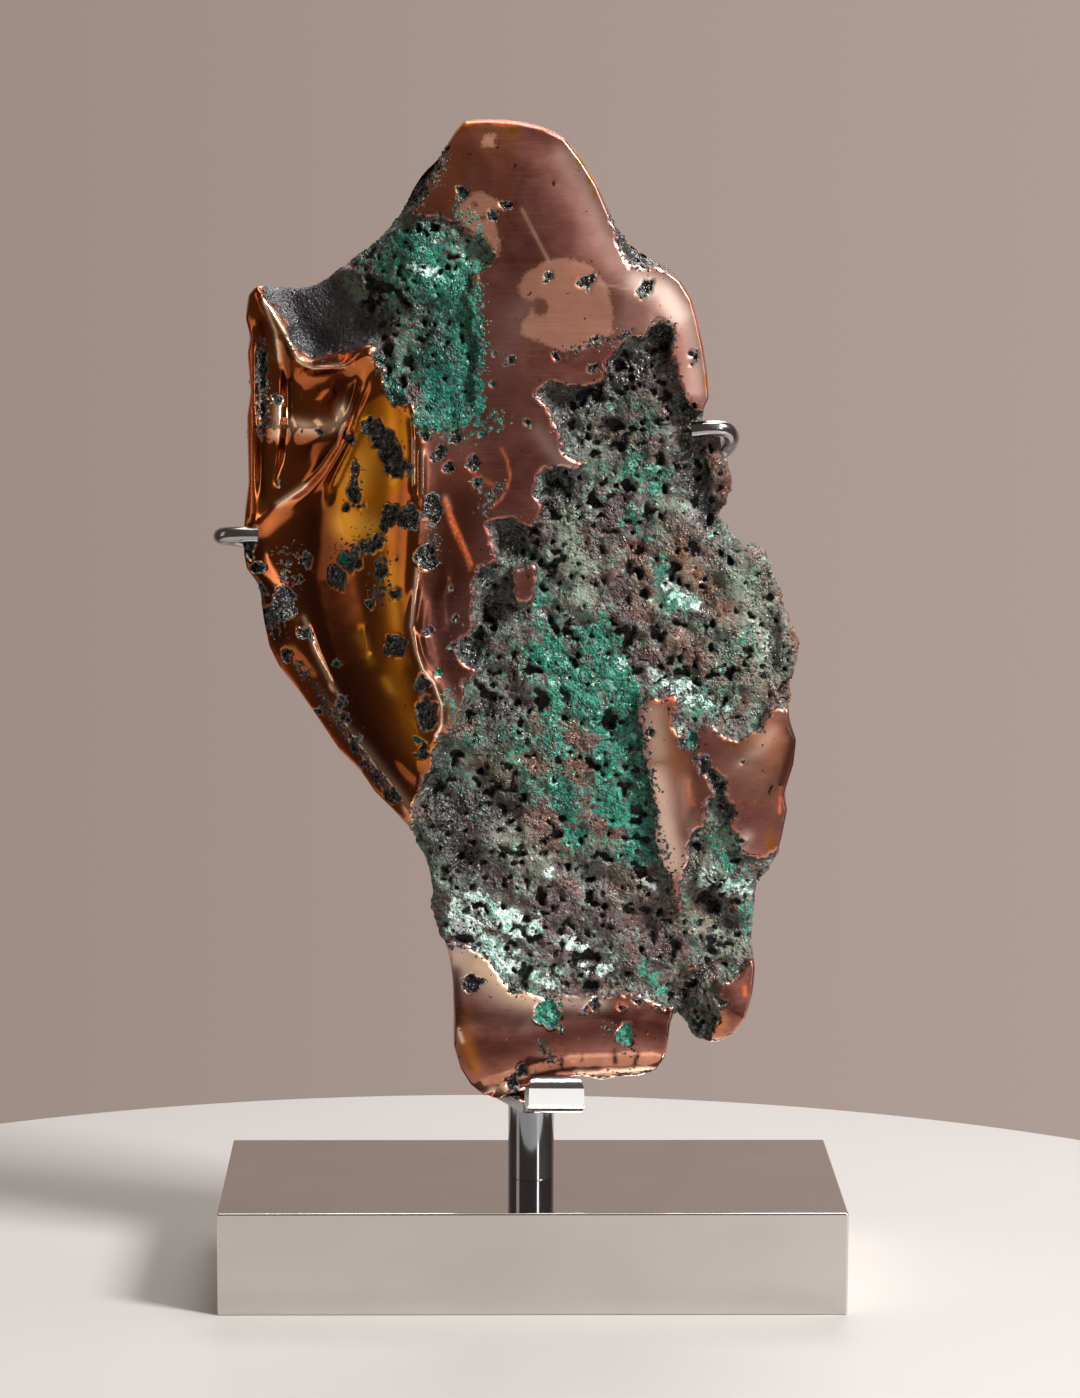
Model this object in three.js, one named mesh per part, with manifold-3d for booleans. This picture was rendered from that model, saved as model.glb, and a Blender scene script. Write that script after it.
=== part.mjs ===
// A slab of native copper held upright by a polished steel stand.
// Millimetres, +Z up, +X to the viewer's right, +Y away from the viewer.
// The origin is the middle of the base's underside.
import * as THREE from "three";
import { mergeVertices } from "three/addons/utils/BufferGeometryUtils.js";
import Module from "manifold-3d";

// Stand, cut from inch stock
const INCH = 25.4;
const BASE_WIDTH = 10 * INCH;
const BASE_DEPTH = 5 * INCH;
const BASE_HEIGHT = 42;
const BASE_CHAMFER = 0.8;
const POST_RADIUS = (0.75 * INCH) / 2;
const POST_SIDES = 48;
const STRIP_WIDTH = INCH;
const STRIP_THICK = 4;
const STRIP_BEND = 6;
const CRADLE_TURN = THREE.MathUtils.degToRad(25);
const CRADLE_UNDERSIDE = 75;
const CRADLE_LIP_TOP = 89;
const CRADLE_BACK_TOP = 128;
const CRADLE_FRONT = -24;
const CRADLE_BACK = 23;
const SPINE_RADIUS = (0.375 * INCH) / 2;
const SPINE_BOTTOM = 86;
const SPINE_TOP = 266;
const SPINE_SIDES = 24;
const PRONG_RADIUS = (0.25 * INCH) / 2;
const PRONG_SIDES = 10;
const PRONG_STEPS = 24;
const LEFT_WELD_Z = 248;
const RIGHT_WELD_Z = 256;
const GAP = 0.35;

// Slab of the nugget
const FRONT_DEPTH = 13;
const BACK_DEPTH = 13;
const EDGE_ROUND = 6;
const CROWN = 3;
const CROWN_CENTRE = [8, 400];
const CROWN_REACH = 75;
const WING_CREST_X = -47;
const WING_SPAN = 70;
const WING_SET_BACK = 16;
const WING_THINNING = 4;
const PIT_SPREAD = 0.7;
const CRUST_LUMPS = 2;
const BACK_LUMPS = 1.3;
const OUTLINE_STEP = 5;
const RIM_INSETS = [1.3, 4.4];
const FRONT_SPACING = 5.7;
const BACK_SPACING = 9.5;

// The nugget's outline seen from the front, as x and z, clockwise from the top left corner.
const OUTLINE = [
  [-28.5, 477.5], [-19, 478], [-8, 477.5], [4, 475], [13, 470.5], [20, 461.5], [26, 452],
  [31, 440.5], [35, 432.5], [41, 427], [50.5, 421], [59.5, 414], [64.5, 406], [67, 397],
  [69.5, 386], [71, 376], [72, 366], [69.5, 361], [70, 354], [74, 348], [79, 341.5],
  [81.5, 335], [79.5, 322.5], [77, 317.5], [80, 310.5], [87, 305.5], [93, 305], [96, 297.5],
  [101, 287.5], [105, 276], [108.5, 268], [109, 260.5], [107, 253.5], [105.3, 244], [106, 233],
  [108.8, 226.5], [107.8, 216], [104, 203.5], [105.5, 197.5], [103.5, 187], [101, 177], [96, 171],
  [91.8, 162], [91.2, 149], [90.5, 139.5], [93, 131.5], [92, 121], [89, 109.5], [83.5, 103],
  [77, 99.5], [72.5, 99], [66.5, 102.5], [62.5, 108.5], [60.2, 115], [58, 108], [57.3, 101],
  [56, 93.5], [52, 87], [44, 84], [36, 84.5], [29, 82], [21, 85], [10, 82.5], [0, 78.5],
  [-6, 74.8], [-13, 73.8], [-20, 76.5], [-26, 82], [-30.3, 89], [-32.8, 98], [-32.6, 110],
  [-33, 125], [-34.5, 135.5], [-37, 144], [-40.8, 155], [-41.7, 163], [-43.2, 175], [-46.3, 183],
  [-51, 189.5], [-58, 196.5], [-65, 202.5], [-71.5, 211.5], [-80, 219.5], [-88.5, 232],
  [-97, 244], [-104.5, 253], [-109, 262], [-111.5, 275], [-113.5, 288], [-118, 294.5],
  [-119.5, 304], [-118.5, 318], [-117, 330], [-117.5, 357], [-115.8, 367], [-117.3, 383],
  [-115.8, 389], [-118, 396.5], [-116.5, 407], [-112.5, 411.8], [-107, 410.3], [-95, 409.5],
  [-87.5, 411], [-79, 417.5], [-69, 423.5], [-60, 430.5], [-55, 438], [-51.5, 446], [-45, 456.5],
  [-38, 463], [-33, 471.5],
];

// Parts of the front that lie below the polished copper: depth, width of the bank, outline.
const SUNKEN = [
  {
    // dark stone hollow at the upper left, under the copper's rolled rim
    depth: 7,
    bank: 5,
    outline: [
      [-109, 416], [-88, 416], [-78, 416], [-71, 405], [-62, 396], [-66, 389], [-77, 385],
      [-90, 381], [-98, 388], [-101, 399], [-107, 405],
    ],
  },
  {
    // malachite field right of the hollow
    depth: 3,
    bank: 4,
    outline: [
      [-80, 420], [-60, 436], [-45, 438], [-31, 436], [-18, 428], [-16, 420], [-23, 408],
      [-22, 380], [-24, 360], [-43, 359], [-57, 366], [-63, 385], [-64, 396], [-72, 406],
    ],
  },
  {
    // rough rim at the top left
    depth: 7,
    bank: 3,
    outline: [[-36, 474], [-35, 465], [-41, 455], [-47, 443], [-57, 436], [-70, 440]],
  },
  {
    // rough rim in the right shoulder
    depth: 7,
    bank: 3,
    outline: [[32, 440], [33, 428], [39, 420], [48, 419], [57, 417], [64, 420], [46, 442]],
  },
  {
    // crusted body
    depth: 5.5,
    bank: 4,
    outline: [
      [76, 362], [62, 364], [56, 380], [57, 395], [50, 397], [38, 390], [29, 380], [26, 372],
      [9, 372], [1, 368], [8, 356], [13, 345], [22, 340], [5, 338], [1, 328], [4, 317],
      [-9, 317], [-18, 315], [-13, 299], [-22, 298], [-24, 280], [-30, 266], [-24, 255],
      [-28, 246], [-31, 231], [-40, 226], [-41, 214], [-48, 200], [-52, 186], [-50, 160],
      [-46, 144], [-31, 142], [-20, 137], [-9, 124.5], [5, 120.5], [28, 121], [44, 121],
      [57, 113], [66, 98], [100, 92], [120, 140], [120, 300], [92, 330],
    ],
  },
];

// Polished windows that stand above the crust: height, width of the bank, outline.
const RAISED = [
  {
    // large window at the right edge, with a bay of crust above and one below
    height: 5,
    bank: 4,
    outline: [
      [43, 238], [46, 244], [59, 244.5], [57.5, 233], [61, 229], [73, 233], [83, 227], [92, 231],
      [101, 241], [120, 236], [120, 180], [96, 176], [84, 181], [81, 193], [84, 197], [76, 206],
      [79, 210], [69, 219], [75, 205], [70, 191], [64, 182], [60.5, 166], [62, 156], [57, 160],
      [52, 180], [49, 204], [45, 222],
    ],
  },
  {
    // nub at the lower right
    height: 5,
    bank: 4,
    outline: [[76, 126], [84, 127], [92, 138], [104, 130], [90, 95], [73, 101], [77, 110], [77, 119]],
  },
  {
    // small tongue of copper in the crust
    height: 3.5,
    bank: 3,
    outline: [[-9, 296], [0, 299], [3, 296], [0.5, 285], [-4, 281], [-8, 286]],
  },
];

// Ridges (height above zero) and grooves (below zero) along lines on the front.
const FOLDS = [
  // wing: trough, rolled left lip, rim of the stone hollow, cross fold and long crease
  { height: -6, width: 15, line: [[-90, 372], [-90, 330], [-93, 290], [-84, 252], [-62, 216]] },
  { height: 3, width: 6, line: [[-112, 406], [-111, 370], [-112, 330], [-110, 300]] },
  { height: 4, width: 5, line: [[-111, 407], [-103, 390], [-94, 378], [-78, 378], [-68, 384]] },
  { height: 3, width: 6, line: [[-108, 354], [-94, 354], [-80, 358]] },
  { height: 2.5, width: 6, line: [[-71, 382], [-76, 362], [-86, 338], [-100, 325], [-110, 315]] },
  { height: 3, width: 6, line: [[-100, 282], [-92, 262], [-78, 238], [-62, 212], [-50, 196]] },
  { height: 2.5, width: 6, line: [[-50, 364], [-49, 330], [-51, 290], [-46, 258], [-38, 240], [-43, 222]] },
  // crust: groove inside the right lobes, gully under the right prong, creases of the lower right
  { height: -4.5, width: 5, line: [[92, 292], [97, 276], [99, 258], [97, 248]] },
  { height: -6, width: 7, line: [[63, 360], [64, 344], [65, 330], [73, 318]] },
  { height: -5, width: 4, line: [[60, 117], [65, 125], [72, 131], [80, 132]] },
  { height: -4, width: 5, line: [[66, 192], [63, 176], [64, 160], [72, 152], [82, 147]] },
  { height: 3, width: 6, line: [[68, 172], [80, 168], [88, 160]] },
  { height: 2.5, width: 7, line: [[14, 312], [18, 294], [22, 280]] },
  // foot: fold above the bright lower rim
  { height: 2.5, width: 8, line: [[-26, 104], [-10, 98], [20, 103], [50, 103]] },
];

// Pits of the front, as x, z, radius and depth.
const PITS = [
  [-8, 306, 8, 5], [-16, 283, 7, 4], [-25, 263, 6, 3.5], [14, 364, 8, 4], [34, 381, 6, 3.5],
  [44, 352, 7, 4], [45, 338, 5, 3], [10, 331, 6, 3.5], [24, 300, 5, 3.5], [41, 314, 6, 3.5],
  [20, 275, 7, 3.5], [-6, 241, 6, 4], [-21, 237, 6, 4], [-42, 203, 6, 4.5], [-30, 197, 5, 3.5],
  [-9, 196, 7, 4.5], [-24, 212, 6, 3.5], [-17, 222, 6, 3.5], [-30, 178, 6, 3.5], [-18, 164, 6, 3],
  [3, 184, 6, 3], [41, 151, 7, 4], [24, 168, 6, 3], [40, 262, 6, 3.5], [64, 273, 6, 4],
  [75, 264, 6, 4], [88, 267, 6, 4], [74, 293, 6, 4], [88, 283, 5, 3.5], [66, 257, 5, 3],
  [76, 246, 6, 3], [90, 239, 6, 4], [77, 199, 7, 4.5], [75, 156, 6, 4], [81, 149, 5, 3],
  [66, 114, 6, 4], [-45, 400, 7, 4], [-46, 384, 7, 3.5], [-64, 400, 7, 4.5], [-22, 425, 6, 4],
  [-60, 350, 8, 3.5], [-55, 319, 7, 3.5], [-43, 302, 6, 4], [-57, 265, 6, 3.5], [-44, 239, 7, 4.5],
  [-42, 322, 5, 3], [-103, 280, 8, 4], [-76, 299, 6, 3], [-25, 126, 5, 3], [5, 117, 5, 2.5],
];

// Hollows of the hidden back, as x, z, radius and depth.
const BACK_HOLLOWS = [
  [-70, 350, 34, 5], [20, 420, 40, 4], [40, 330, 30, 5], [-10, 290, 32, 4], [60, 240, 34, 5],
  [-60, 260, 30, 4], [10, 190, 36, 5], [70, 160, 26, 4], [20, 110, 28, 3],
];

// Shortest distance from a point to a line of points, or to a closed loop.
function distanceTo(x, z, line, closed = false) {
  let best = Infinity;
  const last = closed ? line.length : line.length - 1;
  for (let i = 0; i < last; i++) {
    const [ax, az] = line[i];
    const [bx, bz] = line[(i + 1) % line.length];
    const along = ((x - ax) * (bx - ax) + (z - az) * (bz - az)) / ((bx - ax) ** 2 + (bz - az) ** 2);
    const t = THREE.MathUtils.clamp(along, 0, 1);
    best = Math.min(best, Math.hypot(x - ax - t * (bx - ax), z - az - t * (bz - az)));
  }
  return best;
}

function isInside(x, z, loop) {
  let inside = false;
  loop.forEach(([ax, az], i) => {
    const [bx, bz] = loop[(i + 1) % loop.length];
    if (az > z !== bz > z && x < ax + ((z - az) / (bz - az)) * (bx - ax)) inside = !inside;
  });
  return inside;
}

// 1 well inside a loop, 0 well outside it, with a smooth bank of the given width across its line.
function cover(x, z, loop, bank) {
  const distance = distanceTo(x, z, loop, true) * (isInside(x, z, loop) ? 1 : -1);
  return THREE.MathUtils.smoothstep(distance, -bank / 2, bank / 2);
}

const bell = (distance, width) => Math.exp(-((distance / width) ** 2));

// How deep the round hollows of a list are at a point, all together.
function hollowed(x, z, hollows) {
  return hollows.reduce(
    (sum, [px, pz, radius, fall]) => sum + fall * bell(Math.hypot(x - px, z - pz), PIT_SPREAD * radius),
    0,
  );
}

// Uneven lumps about as tall as 1, from waves that bend each other.
function lumps(x, z) {
  const broad = Math.sin(x / 5.7 + 1.7 * Math.sin(z / 9.3)) * Math.sin(z / 4.9 + 1.3 * Math.sin(x / 7.9));
  const small = Math.sin(x / 2.9 + z / 6.1) * Math.sin(z / 3.1 - x / 7.3);
  return 0.65 * broad + 0.45 * small;
}

// How far along the left wing a point lies, from 0 at the crest to 1 at the wing's edge.
const wingShare = (x) => THREE.MathUtils.clamp((WING_CREST_X - x) / WING_SPAN, 0, 1);

// The slab's middle surface: the wing falls back from the crest.
const middle = (x) => WING_SET_BACK * Math.sin((wingShare(x) * Math.PI) / 2);

const outlineCurve = new THREE.CatmullRomCurve3(
  OUTLINE.map(([x, z]) => new THREE.Vector3(x, 0, z)),
  true,
  "centripetal",
);
const outline = outlineCurve
  .getSpacedPoints(Math.round(outlineCurve.getLength() / OUTLINE_STEP))
  .slice(0, -1)
  .map((p) => [p.x, p.z]);

// Rounds a depth off towards the outline, as a bullnose.
function rounded(x, z, depth) {
  const t = Math.min(distanceTo(x, z, outline, true) / EDGE_ROUND, 1);
  return depth * Math.sqrt(1 - (1 - t) ** 2);
}

function frontY(x, z) {
  const fromCrown = Math.hypot(x - CROWN_CENTRE[0], (z - CROWN_CENTRE[1]) / 2);
  let depth = FRONT_DEPTH + CROWN * bell(fromCrown, CROWN_REACH) - WING_THINNING * wingShare(x);
  let crust = 0;
  for (const { depth: fall, bank, outline: loop } of SUNKEN) {
    const share = cover(x, z, loop, bank);
    depth -= fall * share;
    crust = Math.max(crust, share);
  }
  for (const { height, bank, outline: loop } of RAISED) {
    const share = cover(x, z, loop, bank);
    depth += height * share;
    crust = Math.min(crust, 1 - share);
  }
  depth += CRUST_LUMPS * crust * lumps(x, z);
  for (const { height, width, line } of FOLDS) depth += height * bell(distanceTo(x, z, line), width);
  depth -= hollowed(x, z, PITS);
  return middle(x) - rounded(x, z, depth);
}

function backY(x, z) {
  const plain = BACK_DEPTH - WING_THINNING * wingShare(x);
  const depth = plain + BACK_LUMPS * lumps(x / 2, z / 2) - hollowed(x, z, BACK_HOLLOWS);
  return middle(x) + rounded(x, z, depth);
}

// Plane points for one face: the outline, rings just inside it and a staggered lattice.
function facePoints(spacing) {
  const points = outline.map((p) => [...p]);
  const room = (x, z, least) => points.every(([px, pz]) => Math.hypot(px - x, pz - z) > least);
  for (const inset of RIM_INSETS) {
    outline.forEach(([x, z], i) => {
      const [ax, az] = outline.at(i - 1);
      const [bx, bz] = outline[(i + 1) % outline.length];
      const length = Math.hypot(bx - ax, bz - az);
      const px = x + (inset * (bz - az)) / length;
      const pz = z - (inset * (bx - ax)) / length;
      const clear = isInside(px, pz, outline) && distanceTo(px, pz, outline, true) > 0.85 * inset;
      if (clear && room(px, pz, 1.2)) points.push([px, pz]);
    });
  }
  const rim = RIM_INSETS.at(-1) + spacing * 0.55;
  const rowStep = spacing * Math.sin(Math.PI / 3);
  const zs = OUTLINE.map(([, z]) => z);
  const xs = OUTLINE.map(([x]) => x);
  let row = 0;
  for (let z = Math.min(...zs); z < Math.max(...zs); z += rowStep, row++) {
    for (let x = Math.min(...xs) + (row % 2) * (spacing / 2); x < Math.max(...xs); x += spacing) {
      if (isInside(x, z, outline) && distanceTo(x, z, outline, true) > rim) points.push([x, z]);
    }
  }
  return points;
}

function circled(points, a, b, c) {
  const [ax, az] = points[a];
  const [bx, bz] = [points[b][0] - ax, points[b][1] - az];
  const [cx, cz] = [points[c][0] - ax, points[c][1] - az];
  const d = 2 * (bx * cz - bz * cx);
  const x = (cz * (bx * bx + bz * bz) - bz * (cx * cx + cz * cz)) / d;
  const z = (bx * (cx * cx + cz * cz) - cx * (bx * bx + bz * bz)) / d;
  return { corners: [a, b, c], x: ax + x, z: az + z, radius: Math.hypot(x, z) };
}

// Delaunay triangles: each new point replaces the triangles whose circles hold it.
function triangulate(points) {
  const far = 1e5;
  const all = [...points, [-far, -far], [far, -far], [0, far]];
  const count = points.length;
  let triangles = [circled(all, count, count + 1, count + 2)];
  points.forEach(([x, z], i) => {
    const border = new Map();
    triangles = triangles.filter((t) => {
      if (Math.hypot(x - t.x, z - t.z) >= t.radius) return true;
      t.corners.forEach((a, k) => {
        const b = t.corners[(k + 1) % 3];
        if (!border.delete(`${b} ${a}`)) border.set(`${a} ${b}`, [a, b]);
      });
      return false;
    });
    for (const [a, b] of border.values()) triangles.push(circled(all, a, b, i));
  });
  return triangles
    .map((t) => t.corners)
    .filter((corners) => Math.max(...corners) < count)
    .filter((corners) => {
      const [x, z] = [0, 1].map((k) => corners.reduce((sum, c) => sum + points[c][k], 0) / 3);
      return isInside(x, z, outline);
    });
}

// The nugget before it is seated: front and back faces that meet along the outline.
function nuggetGeometry() {
  const positions = [];
  const faces = [
    { points: facePoints(FRONT_SPACING), depthAt: frontY, order: [0, 1, 2] },
    { points: facePoints(BACK_SPACING), depthAt: backY, order: [0, 2, 1] },
  ];
  for (const { points, depthAt, order } of faces) {
    const placed = points.map(([x, z], i) => [x, i < outline.length ? middle(x) : depthAt(x, z), z]);
    for (const corners of triangulate(points)) {
      for (const k of order) positions.push(...placed[corners[k]]);
    }
  }
  return new THREE.BufferGeometry().setAttribute(
    "position",
    new THREE.Float32BufferAttribute(positions, 3),
  );
}

// The cradle's J section, as depth and height, grown all round by a margin.
function cradleSection(margin) {
  const front = CRADLE_FRONT - margin;
  const back = CRADLE_BACK + margin;
  const bottom = CRADLE_UNDERSIDE - margin;
  const thick = STRIP_THICK + 2 * margin;
  const lipRadius = thick / 2;
  const lipTop = CRADLE_LIP_TOP + margin - lipRadius;
  const backTop = CRADLE_BACK_TOP + margin - lipRadius;
  const inner = STRIP_BEND - STRIP_THICK;
  const shape = new THREE.Shape();
  shape.moveTo(front, lipTop);
  shape.lineTo(front, bottom + STRIP_BEND);
  shape.absarc(front + STRIP_BEND, bottom + STRIP_BEND, STRIP_BEND, Math.PI, 1.5 * Math.PI);
  shape.lineTo(back - STRIP_BEND, bottom);
  shape.absarc(back - STRIP_BEND, bottom + STRIP_BEND, STRIP_BEND, -0.5 * Math.PI, 0);
  shape.lineTo(back, backTop);
  shape.absarc(back - lipRadius, backTop, lipRadius, 0, Math.PI);
  shape.lineTo(back - thick, bottom + thick + inner);
  shape.absarc(back - thick - inner, bottom + thick + inner, inner, 0, -0.5 * Math.PI, true);
  shape.lineTo(front + thick + inner, bottom + thick);
  shape.absarc(front + thick + inner, bottom + thick + inner, inner, -0.5 * Math.PI, -Math.PI, true);
  shape.lineTo(front + thick, lipTop);
  shape.absarc(front + lipRadius, lipTop, lipRadius, 0, Math.PI);
  return shape;
}

// The J section run across the strip's width and turned about the post.
function cradleGeometry(margin) {
  const width = STRIP_WIDTH + 2 * margin;
  const section = new THREE.ExtrudeGeometry(cradleSection(margin), {
    depth: width,
    bevelEnabled: false,
    curveSegments: 8,
  });
  // section axes: depth, height, width become y, z, x
  const axes = new THREE.Matrix4().set(0, 0, 1, -width / 2, 1, 0, 0, 0, 0, 1, 0, 0, 0, 0, 0, 1);
  return section.applyMatrix4(axes).applyMatrix4(new THREE.Matrix4().makeRotationZ(CRADLE_TURN));
}

function postGeometry(margin) {
  const bottom = BASE_HEIGHT + GAP - margin;
  const top = CRADLE_UNDERSIDE - GAP + margin;
  return new THREE.CylinderGeometry(POST_RADIUS + margin, POST_RADIUS + margin, top - bottom, POST_SIDES)
    .rotateX(Math.PI / 2)
    .translate(0, 0, (bottom + top) / 2);
}

function baseGeometry() {
  const x = BASE_WIDTH / 2 - BASE_CHAMFER;
  const y = BASE_DEPTH / 2 - BASE_CHAMFER;
  const corners = [[-x, -y], [x, -y], [x, y], [-x, y]].map(([a, b]) => new THREE.Vector2(a, b));
  return new THREE.ExtrudeGeometry(new THREE.Shape(corners), {
    depth: BASE_HEIGHT - 2 * BASE_CHAMFER,
    bevelSize: BASE_CHAMFER,
    bevelThickness: BASE_CHAMFER,
    bevelSegments: 1,
  }).translate(0, 0, BASE_CHAMFER);
}

// The spine stands against the cradle's back leg.
const spineReach = CRADLE_BACK + GAP + SPINE_RADIUS;
const SPINE_X = -spineReach * Math.sin(CRADLE_TURN);
const SPINE_Y = spineReach * Math.cos(CRADLE_TURN);

function spineGeometry(margin) {
  const height = SPINE_TOP - SPINE_BOTTOM;
  return new THREE.CylinderGeometry(SPINE_RADIUS + margin, SPINE_RADIUS + margin, height, SPINE_SIDES)
    .rotateX(Math.PI / 2)
    .translate(SPINE_X, SPINE_Y, SPINE_BOTTOM + height / 2);
}

// A round rod along a smooth curve through points.
function rodGeometry(points) {
  const circle = new THREE.Shape().absarc(0, 0, PRONG_RADIUS, 0, 2 * Math.PI);
  return new THREE.ExtrudeGeometry(circle, {
    steps: PRONG_STEPS,
    curveSegments: PRONG_SIDES / 2,
    bevelEnabled: false,
    extrudePath: new THREE.CatmullRomCurve3(
      points.map((p) => new THREE.Vector3(...p)),
      false,
      "centripetal",
    ),
  });
}

// The depth at which a rod lies on the front, just clear of its most forward point nearby.
function restingY(x, z) {
  const offsets = [-PRONG_RADIUS, 0, PRONG_RADIUS];
  const nearby = offsets.flatMap((dx) => offsets.map((dz) => frontY(x + dx, z + dz)));
  return Math.min(...nearby) - PRONG_RADIUS - GAP;
}

function leftProngGeometry() {
  const tipY = restingY(-113, 311);
  return rodGeometry([
    [-112, tipY, 311], [-121, tipY, 311], [-126, tipY + 3, 310.5], [-127.5, tipY + 9, 309.5],
    [-126, tipY + 19, 308], [-119, tipY + 29, 305.5], [-100, 36, 299], [-60, 32, 280],
    [SPINE_X, SPINE_Y, LEFT_WELD_Z],
  ]);
}

function rightProngGeometry() {
  const tipY = restingY(66, 353);
  return rodGeometry([
    [64, tipY, 353], [74, tipY, 353.8], [79.5, tipY + 2, 353], [82, tipY + 7, 350.5],
    [82.5, tipY + 15, 347], [80, tipY + 24, 343], [70, 21, 337], [40, 23, 315],
    [SPINE_X, SPINE_Y, RIGHT_WELD_Z],
  ]);
}

const wasm = await Module();
wasm.setup();

function solidOf(geometry) {
  const bare = geometry.clone();
  bare.deleteAttribute("normal");
  bare.deleteAttribute("uv");
  const merged = mergeVertices(bare, 1e-3);
  return new wasm.Manifold(
    new wasm.Mesh({
      numProp: 3,
      vertProperties: merged.attributes.position.array,
      triVerts: new Uint32Array(merged.index.array),
    }),
  );
}

function geometryOf(solid) {
  const { vertProperties, triVerts } = solid.getMesh();
  return new THREE.BufferGeometry()
    .setAttribute("position", new THREE.BufferAttribute(vertProperties, 3))
    .setIndex(new THREE.BufferAttribute(triVerts, 1));
}

// A prong's rear end is coped to the spine.
const coped = (geometry) => geometryOf(solidOf(geometry).subtract(solidOf(spineGeometry(GAP))));

// The nugget sits down into the cradle and clears the post's top.
const seatedNugget = solidOf(nuggetGeometry())
  .subtract(solidOf(cradleGeometry(GAP)))
  .subtract(solidOf(postGeometry(2 * GAP)));

const copper = new THREE.MeshStandardMaterial({ color: 0x7a4a38, roughness: 0.35, metalness: 0.9 });
const steel = new THREE.MeshStandardMaterial({ color: 0xc8c4be, roughness: 0.08, metalness: 1 });

const PIECES = [
  ["nugget", geometryOf(seatedNugget), copper],
  ["stand_base", baseGeometry(), steel],
  ["stand_post", postGeometry(0), steel],
  ["cradle", cradleGeometry(0), steel],
  ["back_spine", spineGeometry(0), steel],
  ["left_prong", coped(leftProngGeometry()), steel],
  ["right_prong", coped(rightProngGeometry()), steel],
];

const part = new THREE.Group();
for (const [name, geometry, material] of PIECES) {
  const mesh = new THREE.Mesh(geometry, material);
  mesh.name = name;
  part.add(mesh);
}

export default part;
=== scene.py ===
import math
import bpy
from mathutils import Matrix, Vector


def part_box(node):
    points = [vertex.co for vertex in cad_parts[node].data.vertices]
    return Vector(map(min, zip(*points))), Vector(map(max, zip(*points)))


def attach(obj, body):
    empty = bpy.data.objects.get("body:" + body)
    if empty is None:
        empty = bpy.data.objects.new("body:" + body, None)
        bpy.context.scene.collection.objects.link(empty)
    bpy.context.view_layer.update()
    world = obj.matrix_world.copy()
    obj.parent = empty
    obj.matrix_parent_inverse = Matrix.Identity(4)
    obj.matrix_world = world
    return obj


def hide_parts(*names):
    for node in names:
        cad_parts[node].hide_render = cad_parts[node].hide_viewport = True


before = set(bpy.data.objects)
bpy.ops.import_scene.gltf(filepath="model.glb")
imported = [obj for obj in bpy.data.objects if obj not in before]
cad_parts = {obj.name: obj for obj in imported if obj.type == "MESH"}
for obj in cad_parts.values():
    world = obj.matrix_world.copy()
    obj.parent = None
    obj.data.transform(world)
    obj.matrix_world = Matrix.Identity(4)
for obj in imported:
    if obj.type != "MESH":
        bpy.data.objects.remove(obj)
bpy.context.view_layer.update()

# A slab of native copper with a malachite crust, held upright by a mirror-polished steel stand.
# Blender works in metres. Places on the slab's front are x and z in millimetres.
from types import SimpleNamespace

import bmesh
import bpy
import numpy as np
from mathutils import Matrix, Vector, noise

MM = 0.001


def rgb(red, green, blue):
    """A screen colour, 0 to 255 a channel, as the linear colour that a shader takes."""
    channels = [c / 255 for c in (red, green, blue)]
    return tuple(c / 12.92 if c <= 0.04045 else ((c + 0.055) / 1.055) ** 2.4 for c in channels) + (1.0,)


# Camera, light and floor

CAMERA_PLACE = (-0.0256, -1.7796, 0.4837)
CAMERA_PITCH = math.radians(7.734)
CAMERA_YAW = math.radians(0.926)
CAMERA_ROLL = math.radians(0.179)
CAMERA_LENS = 112.84

FLOOR_CENTRE = (-0.02, -0.13)
FLOOR_RADIUS = 0.47
FLOOR_THICK = 0.03
FLOOR_ROUND = 0.008

BACKDROP_LEFT = rgb(158, 139, 130)
BACKDROP_RIGHT = rgb(175, 156, 148)
ROOM_SHADE = rgb(88, 78, 72)


def add_camera():
    data = bpy.data.cameras.new("camera")
    data.lens = CAMERA_LENS
    data.sensor_width = 36
    data.clip_start = 0.05
    camera = bpy.data.objects.new("camera", data)
    turn = Matrix.Rotation(-CAMERA_YAW, 4, "Z") @ Matrix.Rotation(math.pi / 2 - CAMERA_PITCH, 4, "X")
    camera.matrix_world = Matrix.Translation(CAMERA_PLACE) @ turn @ Matrix.Rotation(CAMERA_ROLL, 4, "Z")
    bpy.context.scene.collection.objects.link(camera)
    bpy.context.scene.camera = camera


def soft_box(name, place, target, width, height, power, colour):
    """A rectangular studio light that faces a target."""
    data = bpy.data.lights.new(name, "AREA")
    data.shape = "RECTANGLE"
    data.size = width
    data.size_y = height
    data.energy = power
    data.color = colour
    light = bpy.data.objects.new(name, data)
    light.location = place
    light.rotation_euler = (Vector(target) - Vector(place)).to_track_quat("-Z", "Y").to_euler()
    light.visible_camera = False
    bpy.context.scene.collection.objects.link(light)


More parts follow.
